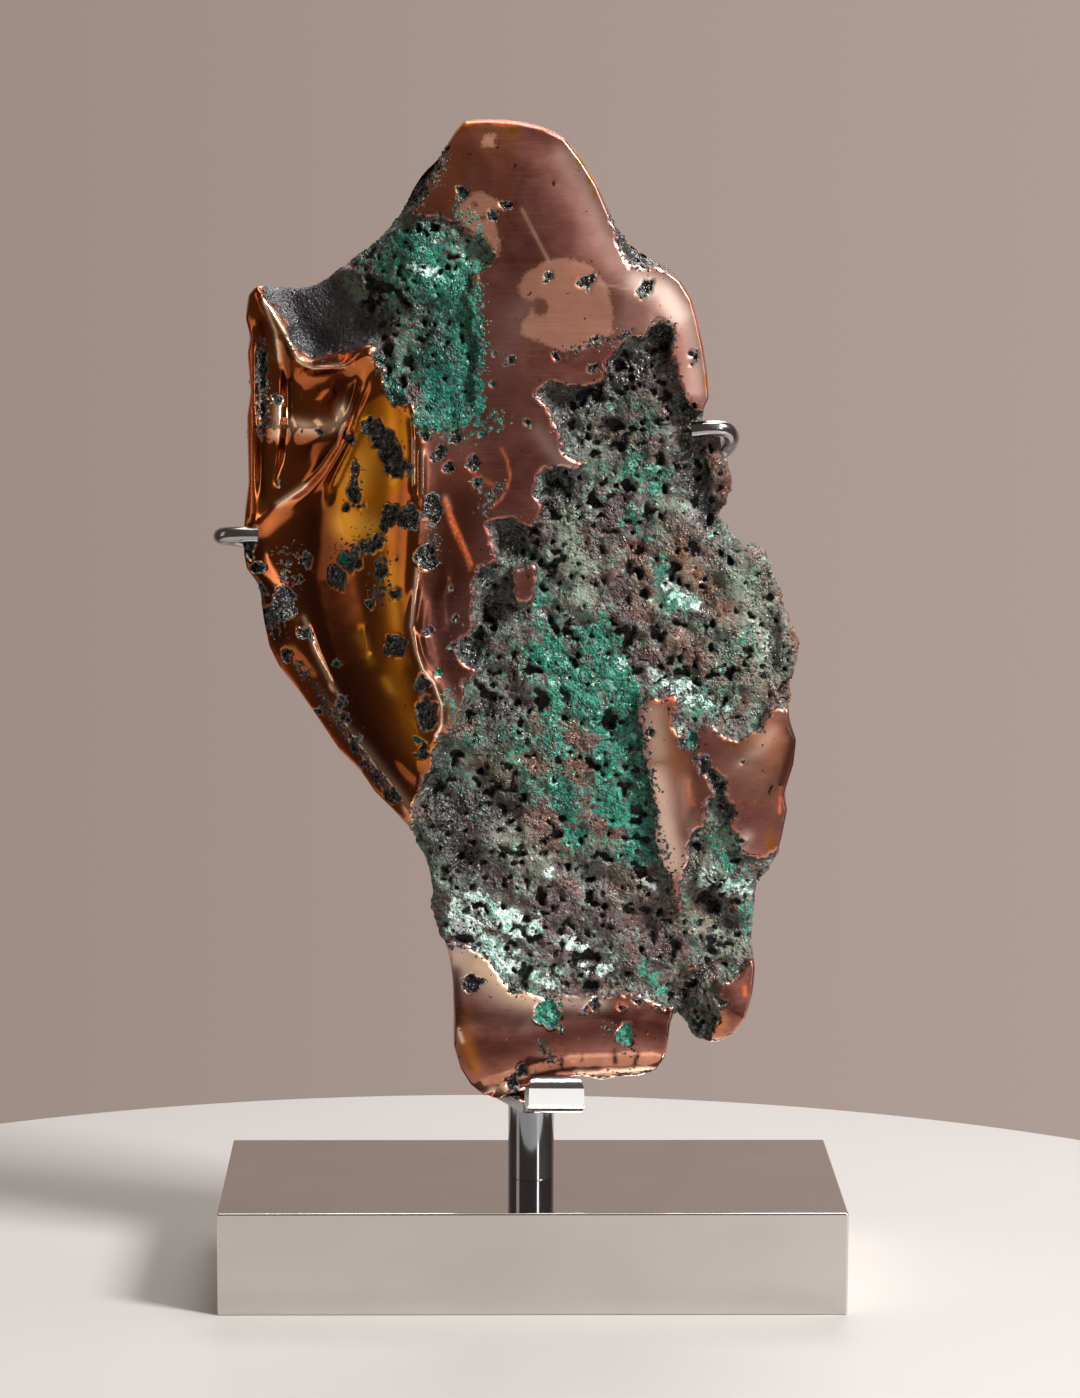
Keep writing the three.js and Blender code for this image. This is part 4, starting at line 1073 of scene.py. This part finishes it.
def face_sheet(points):
    """Depth y of the polished face, as if the copper had no crust and no pits."""
    x, z = points.T
    wing = np.clip((WING_CREST_X - x) / WING_SPAN, 0, 1)
    crown = np.hypot(x - CROWN_CENTRE[0], (z - CROWN_CENTRE[1]) / 2) / CROWN_REACH
    depth = FACE_DEPTH + FACE_CROWN * np.exp(-crown**2) - WING_THINNING * wing
    for tall, half, line in BROAD_FOLDS:
        depth += tall * np.exp(-((line_distance(points, line) / half) ** 2))
    for tall, half, line in WING_FOLDS:
        depth += fold(points, tall, half, line)
    inset = loop_distance(points, OUTLINE)
    depth -= FACE_ROLL * np.exp(-((inset / ROLL_REACH) ** 2))
    start = np.interp(x, *zip(*FOOT_ROLL_LINE))
    depth -= FOOT_ROLL * (np.clip(start - z, 0, 16) / FOOT_ROLL_REACH) ** 2
    depth -= FOOT_LEAN * (np.clip(z - FOOT_MIDDLE, 0, 36) / 36) ** 2 * (1 - smoothstep(z, 138, 170))
    inset = np.clip(inset / EDGE_ROUND, 0, 1)
    return WING_SET_BACK * np.sin(wing * math.pi / 2) - depth * np.sqrt(1 - (1 - inset) ** 2)


def keep(mesh, name, values):
    """Stores one number for each point of the mesh, for the material to read."""
    layer = mesh.attributes.new(name, "FLOAT", "POINT")
    layer.data.foreach_set("value", np.asarray(values, np.float32))


def off_seat(places):
    """0 where the nugget lies on the cradle's floor and against its back leg, 1 away from them."""
    x, y, z = places.T
    across = np.abs(x * math.cos(CRADLE_TURN) + y * math.sin(CRADLE_TURN))
    above = smoothstep(z, 80, 83) * np.maximum(smoothstep(z, 129, 133), smoothstep(-y, -2, 0))
    return np.maximum(above, smoothstep(across, 14, 18))


def clear_of_cradle(places):
    """Lifts what would sink into the cradle's sloping floor, and keeps clear of its back leg."""
    cos, sin = math.cos(CRADLE_TURN), math.sin(CRADLE_TURN)
    across = cos * places[:, 0] + sin * places[:, 1]
    along = cos * places[:, 1] - sin * places[:, 0]
    beside = np.maximum(np.abs(across) - STRIP_WIDTH / 2 - SEAT_GAP, 0)
    floor_front, floor_back = CRADLE_FRONT + STRIP_THICK / 2 + LIP_BEND, CRADLE_BACK - STRIP_THICK
    sag = (floor_front + POST_RADIUS) / (CRADLE_FRONT + STRIP_THICK / 2 + POST_RADIUS)
    sag *= (floor_back - along) / (floor_back - floor_front)
    floor = CRADLE_UNDERSIDE + STRIP_THICK - (LIP_SAG + LIP_SKEW * across) * sag
    lowest = floor + SEAT_GAP - SEAT_SLOPE * beside
    over = (along > CRADLE_FRONT) & (along < CRADLE_BACK)
    places[:, 2] = np.where(over, np.maximum(places[:, 2], lowest), places[:, 2])
    above = np.maximum(places[:, 2] - CRADLE_BACK_TOP - SEAT_GAP, 0)
    past = np.maximum(along - floor_back + SEAT_GAP - SEAT_SLOPE * beside - above, 0)
    places[:, 0] += sin * past
    places[:, 1] -= cos * past


def thin_out(piece, mask):
    """Takes faces away at the masked points until the piece has few enough."""
    group = piece.vertex_groups.new(name="thinned")
    group.add(np.flatnonzero(mask).tolist(), 1.0, "REPLACE")
    triangles = sum(len(face.vertices) - 2 for face in piece.data.polygons)
    fewer = piece.modifiers.new("fewer_faces", "DECIMATE")
    fewer.ratio = NUGGET_TRIANGLES / triangles
    fewer.vertex_group = group.name
    apply_modifiers(piece)
    piece.vertex_groups.clear()


def surface_fields(mesh):
    """What lies where on the nugget: millimetres into crust, pits and chips, and shares from 0 to 1."""
    at = SimpleNamespace(places=mesh_places(mesh), normals=mesh_normals(mesh))
    at.points = at.places[:, [0, 2]]
    at.front = front_share(at.normals)
    at.ragged = 1.5 * noise_at(at.places, 5.0) + 1.0 * noise_at(at.places, 2.1, 7.0)
    far = np.stack([noise_at(at.places, 3.6, 11.0), noise_at(at.places, 3.6, 17.0)], axis=1)
    near = np.stack([noise_at(at.places, 1.6, 13.0), noise_at(at.places, 1.6, 19.0)], axis=1)
    warped = at.points + 2.2 * far + 0.9 * near
    at.dust = streaks(at.points, MALACHITE_DUST) * at.front
    at.crust = crust_distance(at.places, at.normals)
    black = oval_distance(warped, BLACK_PITS) + 0.25 * at.ragged
    chips = oval_distance(warped, GREEN_CHIPS) + 0.2 * at.ragged
    at.black = np.where(at.front > 0.5, black, -50)
    at.chips = np.where(at.front > 0.5, chips, -50)
    at.margin = at.crust + at.ragged * (1 + 1.5 * at.dust + 1.5 * (1 - at.front))
    at.rough = np.maximum(np.maximum(at.margin, at.black), at.chips)
    at.inner = smoothstep(at.rough, -0.2, 0.7)
    at.stone = smoothstep(loop_distance(at.points, STONE_LOOP) * at.front, -1, 3)
    at.green = streaks(at.points, MALACHITE_STREAKS) * at.front
    at.pale_green = streaks(at.points, PALE_GREEN_STREAKS) * at.front
    at.shade = streaks(at.points, SHADE_STREAKS) * at.front
    return at


def set_polished_face(at):
    """Polished copper lies on the face's sheet right up to the crust, which starts a step below it."""
    sheet = face_sheet(at.points)
    on_face = at.front * smoothstep(loop_distance(at.points, OUTLINE), 0.2, 1.2) * off_seat(at.places)
    sheet += STEP_BEVEL * smoothstep(at.margin, -1.5, -0.1)
    crust_y = np.maximum(at.places[:, 1], sheet + CRUST_STEP)
    face_y = sheet + (crust_y - sheet) * at.inner
    at.places[:, 1] += (face_y - at.places[:, 1]) * on_face


def raise_crust(mesh, at):
    """Crust: crumbs with cracks between them, lumps and ragged hollows, and how much painted shade the
    hollows get.
    """
    coarse = smoothstep(at.crust, -0.5, 4)
    lump = noise_at(at.places, 13.0, 1.0) + 0.6 * noise_at(at.places, 6.0, 3.0)
    ridge = 0.45 - np.abs(noise_at(at.places, 8.0, 14.0))
    grain = noise_at(at.places, 2.0, 4.0)
    small = crumbs_at(at.places, 2.4)
    crowd = 0.2 * noise_at(at.places, 22.0, 21.0) - 0.12 * at.green - 0.1 * at.pale_green
    wide = noise_at(at.places, 7.0, 2.0) + 0.5 * noise_at(at.places, 2.8, 5.0) + crowd
    narrow = noise_at(at.places, 3.4, 6.0) + 0.3 * noise_at(at.places, 1.7, 8.0) + crowd
    cave = np.maximum(smoothstep(wide, 0.38, 0.5), 0.6 * smoothstep(narrow, 0.36, 0.46))
    cave *= coarse * (1 - at.stone)
    calm = (1 - 0.75 * at.stone) * (1 - 0.5 * at.pale_green) * (1 - 0.3 * at.green)
    relief = calm * coarse * (2.0 * lump + 1.6 * ridge) + calm * (0.75 * (small - 0.6) + 0.55 * grain)
    relief -= POCKET_DEPTH * at.shade * coarse + HOLLOW_DEPTH * cave
    height = at.inner * relief * off_seat(at.places)
    moved = (at.places + at.normals * height[:, None]) * MM
    clear_of_cradle(moved)
    mesh.vertices.foreach_set("co", moved.ravel())
    mesh.update()
    # Painted shade for the hollows and the low spots.
    at.sunk = at.inner * (cave + np.clip(-0.15 * relief, -0.2, 0.3))


def keep_films(mesh, at):
    """Stores where the polished copper has its colours, including its painted highlights, painted reflection
    and painted shade.
    """
    points, front = at.points, at.front
    # Painted reflection of the floor along the foot's bottom band, broken by dark drips.
    band_reflection = smoothstep(loop_distance(points, FOOT_REFLECTION_BAND) + 0.4 * at.ragged, -0.7, 0.7)
    drips = streaks(points, DRIP_STREAKS)
    shown = band_reflection * (1 - drips)
    broken = smoothstep(noise_at(at.places, 7.0, 31.0), -0.25, 0.2)
    broken = np.maximum(broken, smoothstep(loop_distance(points, OUTLINE), 4, 8))
    broken = np.maximum(broken, smoothstep(-points[:, 0], 40, 46))
    plane = smoothstep(loop_distance(points, GOLD_PLANE), -0.8, 0.8)
    # Dark films together with painted shade.
    dark_film_and_shade = np.maximum(streaks(points, DARK_FILM_AND_SHADE_STREAKS) * (1 - band_reflection), drips)
    light = np.max([loop_distance(points, loop) for loop in LIGHT_PATCHES], axis=0)
    light = np.minimum(light, -oval_distance(points, PATCH_GAPS)) + 0.4 * at.ragged
    keep(mesh, "wing", smoothstep(loop_distance(points, WING_LOOP), -4, 4) * front)
    keep(mesh, "sleek", (1 - smoothstep(points[:, 1], 110, 120)) * front)
    keep(mesh, "gold", np.maximum(streaks(points, GOLD_STREAKS) * broken, plane) * front)
    # Pale and fresh marks take painted highlights, glints and the foot's painted reflection.
    keep(mesh, "pale_and_highlight", np.maximum(streaks(points, PALE_AND_HIGHLIGHT_STREAKS), 0.7 * shown) * front)
    keep(mesh, "fresh", np.maximum(streaks(points, ORANGE_SCRATCH_AND_GLINT_STREAKS) * broken, 0.45 * shown) * front)
    keep(mesh, "dark_film_and_shade", dark_film_and_shade * front + 0.7 * (1 - front))
    keep(mesh, "band_reflection", shown * front)
    keep(mesh, "patch", np.where(front > 0.5, np.clip(light, -6, 6), -6))
    # Gleam and rose are painted highlights and sheen; olive is a tarnish film.
    for name, strokes in (("painted_gleam", PAINTED_GLEAM_STREAKS), ("olive", OLIVE_STREAKS), ("rose_sheen", ROSE_SHEEN_STREAKS)):
        keep(mesh, name, streaks(points, strokes) * front)


def keep_minerals(mesh, at):
    """Stores where the crust and its minerals are, and the painted shade of its hollows."""
    points, front, behind = at.points, at.front, 1 - at.front
    spread = noise_at(at.places, 24.0, 9.0)
    left = smoothstep(-points[:, 0], 0, 20) * (1 - smoothstep(points[:, 1], 385, 410))
    beside_crust = 0.5 * np.exp(-((at.crust / 3.0) ** 2))
    keep(mesh, "crust", np.clip(at.rough, -4, 4))
    # Painted shade in the hollows.
    keep(mesh, "hollow_shade", np.clip(at.sunk, -1, 1.5))
    keep(mesh, "soot", smoothstep(at.black, -0.4, 0.4))
    keep(mesh, "chip", smoothstep(at.chips, -0.3, 0.3))
    keep(mesh, "stone", at.stone)
    keep(mesh, "dust", at.dust)
    keep(mesh, "shade", at.shade)
    keep(mesh, "pale_green", at.pale_green)
    keep(mesh, "deep", left * front)
    keep(mesh, "malachite", at.green + 0.7 * behind * smoothstep(spread, 0, 0.5))
    keep(mesh, "rust", streaks(points, RUST_STREAKS) * front + 0.6 * behind * smoothstep(-spread, 0, 0.5))
    keep(mesh, "pepper", np.maximum(streaks(points, PEPPER_STREAKS), beside_crust) * front)
    for name, strokes in (("dusk", DUSK_STREAKS), ("plum", PLUM_STREAKS), ("bloom", BLOOM_STREAKS)):
        keep(mesh, name, streaks(points, strokes) * front)


def add_nugget():
    piece = skinned_nugget()
    piece.name = "copper_nugget"
    mesh = piece.data
    mesh.name = "copper_nugget"
    at = surface_fields(mesh)
    set_polished_face(at)
    raise_crust(mesh, at)
    keep_films(mesh, at)
    keep_minerals(mesh, at)
    mesh.materials.clear()
    mesh.materials.append(nugget_finish())
    shade_smooth(piece)
    thin_out(piece, (at.front < 0.5) | (at.rough > 1.5))
    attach(piece, "root")
    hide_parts("nugget")


# Nugget: finish

BRUSH_SLANT = math.radians(12)


def nugget_finish():
    finish = Finish("native_copper")
    speck = finish.noise(0.0016, detail=4.0, roughness=0.7)
    mottle = finish.noise(0.006, detail=6.0, roughness=0.7)
    scatter = finish.noise(0.0021, detail=3.0, roughness=0.65)
    frayed = finish.span(speck, 0.25, 0.75, -0.7, 0.7, smooth=False)
    rough = finish.span(finish.math("ADD", finish.attribute("crust"), frayed), -0.5, -0.2)
    strewn = finish.span(scatter, 0.35, 0.65, -1.0, -0.05, smooth=False)
    grains = finish.span(finish.math("ADD", finish.attribute("dust"), strewn), 0.0, 0.1)
    sown = finish.span(finish.noise(0.0018, detail=2.0, roughness=0.5), 0.3, 0.7, -1.0, -0.05, smooth=False)
    pepper = finish.span(finish.math("ADD", finish.attribute("pepper"), sown), 0.0, 0.1)
    rough = finish.most(rough, grains, pepper)
    copper = copper_colour(finish, speck)
    mineral = crust_colour(finish, speck, mottle, grains, pepper)
    finish.set("Base Color", finish.mix(rough, copper, mineral["colour"]))
    # Painted highlights, painted reflection and fresh copper lose some metal, so that they show bright under
    # any light.
    bright = finish.most(
        finish.attribute("fresh"), finish.attribute("band_reflection"), finish.part("pale_and_highlight", 0.6),
        finish.part("painted_gleam", 0.6), finish.part("rose_sheen", 0.45),
        finish.span(finish.attribute("patch"), -0.3, 0.3, 0.0, 0.26),
    )
    finish.set("Metallic", finish.span(rough, 0.0, 1.0, finish.span(bright, 0.0, 1.0, 1.0, 0.4), 0.0))
    cloud = finish.noise(0.05, detail=5.0, roughness=0.6, warp=0.6)
    wing = finish.attribute("wing")
    gloss = finish.span(wing, 0.0, 1.0, finish.span(cloud, 0.3, 0.7, 0.42, 0.32), 0.16)
    gloss = finish.span(finish.attribute("gold"), 0.0, 1.0, gloss, 0.3)
    gloss = finish.span(finish.attribute("sleek"), 0.0, 1.0, gloss, 0.17)
    finish.set("Roughness", finish.span(rough, 0.0, 1.0, gloss, mineral["roughness"]))
    finish.set("Specular IOR Level", 0.65)
    hair = finish.bump(brush_lines(finish), 0.000008, finish.span(wing, 0.0, 1.0, 0.6, 0.15))
    dented = finish.span(rough, 0.0, 1.0, 0.25, 0.0)
    dents = finish.bump(finish.noise(0.02, detail=2.0), 0.0009, dented, hair)
    finish.set("Normal", finish.bump(mineral["height"], 0.0013, rough, dents))
    return finish.material


def brush_lines(finish):
    """Fine slanting lines that polishing left."""
    lines = finish.stretched((0.03, 1.0, 1.0), (0, BRUSH_SLANT, 0))
    return finish.noise(0.0007, detail=3.0, place=lines)


def copper_colour(finish, speck):
    """Polished copper: tarnish in clouds, brush lines, gold and dark films, fresh patches and scratches,
    with painted highlights, painted reflection and painted shade on top.
    """
    cloud = finish.noise(0.035, detail=6.0, roughness=0.65, warp=1.2)
    copper = finish.mix(finish.span(cloud, 0.3, 0.7), rgb(152, 88, 72), rgb(196, 132, 120))
    copper = finish.mix(finish.span(brush_lines(finish), 0.4, 0.75, 0.0, 0.14), copper, rgb(236, 190, 178))
    copper = finish.mix(finish.attribute("olive"), copper, rgb(190, 114, 74))
    # Painted whitish sheen and highlights.
    copper = finish.mix(finish.attribute("rose_sheen"), copper, rgb(252, 222, 208))
    copper = finish.mix(finish.attribute("wing"), copper, rgb(176, 98, 52))
    # Dark films and painted shade.
    copper = finish.mix(finish.part("dark_film_and_shade", 0.85), copper, rgb(68, 35, 27))
    frayed = finish.span(speck, 0.25, 0.75, -1.1, 1.1, smooth=False)
    patch = finish.math("ADD", finish.attribute("patch"), frayed)
    fresh = finish.mix(finish.span(brush_lines(finish), 0.35, 0.7), rgb(244, 172, 146), rgb(250, 184, 158))
    copper = finish.mix(finish.span(patch, -0.3, 0.3, 0.0, 0.85), copper, fresh)
    rim = finish.math("MULTIPLY", finish.span(patch, -1.0, -0.4), finish.span(patch, 0.4, -0.2))
    copper = finish.mix(finish.math("MULTIPLY", rim, 0.6), copper, rgb(255, 196, 160))
    copper = finish.mix(finish.attribute("gold"), copper, rgb(216, 134, 34))
    # Painted gold highlights.
    copper = finish.mix(finish.attribute("painted_gleam"), copper, rgb(255, 186, 62))
    # Pale copper and painted highlights.
    copper = finish.mix(finish.attribute("pale_and_highlight"), copper, rgb(255, 214, 180))
    # Fresh scratches, painted orange glints on rims, and the foot's painted reflection.
    scratch_and_glint = finish.mix(finish.span(speck, 0.35, 0.65), rgb(218, 80, 34), rgb(252, 138, 84))
    copper = finish.mix(finish.attribute("fresh"), copper, scratch_and_glint)
    fleck = finish.noise(0.0022, detail=2.0)
    copper = finish.mix(finish.span(fleck, 0.69, 0.74, 0.0, 0.8), copper, rgb(222, 110, 56))
    spots = finish.noise(0.0031, detail=4.0)
    return finish.mix(finish.span(spots, 0.68, 0.72, 0.0, 0.9), copper, rgb(46, 26, 24))


def crust_colour(finish, speck, mottle, grains, pepper):
    """The crust's colour, roughness and height: a porous matrix of many minerals, pitted at every size, with
    painted shade in its hollows.
    """
    broad = finish.noise(0.028, detail=4.0)
    tint = finish.noise(0.009, detail=5.0, roughness=0.7, warp=0.8)
    shaken = finish.shaken(0.003, 0.0022)
    large, large_own = finish.cells(0.0024, shaken)
    fine, fine_own = finish.cells(0.0012, shaken)
    crumb = finish.noise(0.003, detail=5.0, roughness=0.65)
    coarse = finish.span(finish.noise(0.013, detail=3.0, warp=0.5), 0.42, 0.6, 0.4, 1.05)
    colour = finish.mix(finish.span(broad, 0.36, 0.62), rgb(100, 80, 78), rgb(100, 120, 107))
    colour = finish.mix(finish.span(mottle, 0.5, 0.66, 0.0, 0.8), colour, rgb(152, 160, 148))
    colour = finish.mix(finish.span(mottle, 0.49, 0.36, 0.0, 0.9), colour, rgb(72, 52, 56))
    colour = finish.mix(finish.span(tint, 0.54, 0.62, 0.0, 0.8), colour, rgb(108, 64, 45))
    colour = finish.mix(finish.span(tint, 0.45, 0.37, 0.0, 0.75), colour, rgb(66, 124, 100))
    colour = finish.mix(finish.attribute("pale_green"), colour, rgb(142, 156, 138))
    plum = finish.math("MULTIPLY", finish.attribute("plum"), finish.span(mottle, 0.68, 0.46))
    colour = finish.mix(plum, colour, rgb(90, 62, 68))
    rust = finish.math("MULTIPLY", finish.attribute("rust"), finish.span(crumb, 0.34, 0.54))
    colour = finish.mix(rust, colour, finish.mix(large_own, rgb(88, 48, 30), rgb(134, 78, 50)))
    colour = finish.mix(finish.span(fine_own, 0.0, 1.0, 0.28, 0.0), colour, rgb(50, 40, 40))
    clumps = finish.span(mottle, 0.25, 0.75, -0.65, 0.4)
    malachite = finish.math("ADD", finish.attribute("malachite"), clumps)
    malachite = finish.math("ADD", malachite, finish.span(fine_own, 0.0, 1.0, -0.4, 0.3, smooth=False))
    malachite = finish.math("SUBTRACT", malachite, finish.math("MULTIPLY", rust, 0.55))
    green = finish.mix(fine_own, rgb(4, 60, 50), rgb(30, 146, 120))
    green = finish.mix(finish.span(large_own, 0.84, 0.97, 0.0, 0.6), green, rgb(146, 218, 196))
    deep_green = finish.mix(fine_own, rgb(0, 40, 36), rgb(8, 130, 108))
    green = finish.mix(finish.attribute("deep"), green, deep_green)
    colour = finish.mix(finish.span(malachite, 0.3, 0.42), colour, green)
    bloom = finish.math("ADD", finish.attribute("bloom"), finish.span(mottle, 0.3, 0.7, -0.55, 0.35))
    bloom = finish.math("ADD", bloom, finish.span(fine_own, 0.0, 1.0, -0.25, 0.15, smooth=False))
    bloom_colour = finish.mix(large_own, rgb(130, 190, 172), rgb(240, 248, 246))
    colour = finish.mix(finish.span(bloom, 0.32, 0.5, 0.0, 0.95), colour, bloom_colour)
    slag = finish.mix(finish.span(speck, 0.5, 0.72), rgb(28, 26, 28), rgb(140, 140, 142))
    colour = finish.mix(finish.span(finish.attribute("shade"), 0.15, 0.85, 0.0, 0.85), colour, slag)
    colour = finish.mix(finish.part("dusk", 0.62), colour, rgb(46, 38, 36))
    colour = finish.mix(finish.attribute("stone"), colour, finish.mix(0.85, slag, rgb(41, 40, 44)))
    soot = finish.mix(finish.span(speck, 0.52, 0.7), rgb(26, 23, 24), rgb(140, 138, 138))
    colour = finish.mix(finish.most(finish.attribute("soot"), pepper), colour, soot)
    colour = finish.mix(finish.most(finish.attribute("chip"), grains), colour, green)
    pores = finish.math("MULTIPLY", finish.span(large, 0.34, 0.22), finish.span(large_own, 0.5, 0.55))
    pores = finish.math("MULTIPLY", pores, finish.span(finish.attribute("stone"), 0.0, 1.0, 1.0, 0.1))
    colour = finish.mix(finish.math("MULTIPLY", pores, 0.85), colour, rgb(28, 21, 21))
    cracks = finish.math("MULTIPLY", finish.span(crumb, 0.47, 0.36, 0.0, 0.85), coarse)
    colour = finish.mix(cracks, colour, rgb(30, 24, 24))
    glints = finish.span(finish.attribute("deep"), 0.0, 1.0, 0.35, 0.08)
    colour = finish.mix(finish.span(crumb, 0.6, 0.74, 0.0, glints), colour, rgb(208, 214, 206))
    # Painted shade in the hollows and low spots of the relief.
    hollow_shade = finish.span(finish.attribute("hollow_shade"), 0.26, 0.54, 0.0, 0.92)
    colour = finish.mix(hollow_shade, colour, rgb(20, 15, 15))
    grit = finish.noise(0.0022, detail=3.0, roughness=0.55)
    height = finish.math("ADD", finish.math("MULTIPLY", pores, -0.6), finish.span(fine, 0.0, 0.7, 0.35, 0.0))
    height = finish.math("ADD", height, finish.math("MULTIPLY", grit, 1.6))
    height = finish.math("MULTIPLY", height, finish.span(finish.attribute("stone"), 0.0, 1.0, coarse, 0.6))
    wet = finish.most(finish.attribute("soot"), finish.attribute("shade"))
    facets = finish.math("MULTIPLY", finish.math("MULTIPLY", large, wet), 1.1)
    height = finish.math("ADD", height, facets)
    wet = finish.most(wet, finish.part("stone", 0.5))
    shine = finish.span(wet, 0.2, 0.9, finish.span(large_own, 0.55, 0.85, 0.7, 0.24), 0.2)
    return {"colour": colour, "roughness": shine, "height": height}


# Floor


def pale_floor():
    finish = Finish("pale_floor")
    cloud = finish.noise(0.22, detail=4.0)
    finish.set("Base Color", finish.mix(cloud, rgb(176, 174, 172), rgb(184, 182, 180)))
    finish.set("Roughness", 0.38)
    return finish.material


def add_floor():
    bm = bmesh.new()
    bmesh.ops.create_cone(
        bm, cap_ends=True, segments=256, radius1=FLOOR_RADIUS, radius2=FLOOR_RADIUS, depth=FLOOR_THICK
    )
    bmesh.ops.translate(bm, vec=(*FLOOR_CENTRE, -FLOOR_THICK / 2), verts=bm.verts)
    rims = [e for e in bm.edges if abs(e.verts[0].co.z - e.verts[1].co.z) < 1e-7]
    bevelled(bm, rims, FLOOR_ROUND, 5)
    floor = new_piece("floor", mesh_of(bm, "floor"))
    floor.data.materials.append(pale_floor())
    shade_smooth(floor, SHARP_ANGLE)


# Scene

bpy.context.scene.view_settings.view_transform = "Standard"
add_camera()
add_room()
add_lights()
add_floor()
# The stand is one polished steel throughout. The post and the prongs are painted darker as painted shade,
# and the cradle is painted brighter as painted light. The prongs are also rougher, a satin finish.
steel = steel_finish("polished_steel", 0.035, 0.11, rgb(206, 201, 195), rgb(222, 218, 213))
satin_painted_dark = steel_finish("satin_painted_dark_steel", 0.18, 0.26, rgb(160, 160, 160), rgb(182, 182, 182))
painted_dark_post_steel = steel_finish("painted_dark_post_steel", 0.1, 0.14, rgb(146, 150, 156), rgb(166, 170, 176))
painted_bright_steel = steel_finish("painted_bright_steel", 0.08, 0.14, rgb(226, 228, 230), rgb(238, 240, 242))
add_base(steel)
add_post(painted_dark_post_steel)
add_cradle(painted_bright_steel)
add_spine(steel)
add_prongs(satin_painted_dark)
add_nugget()
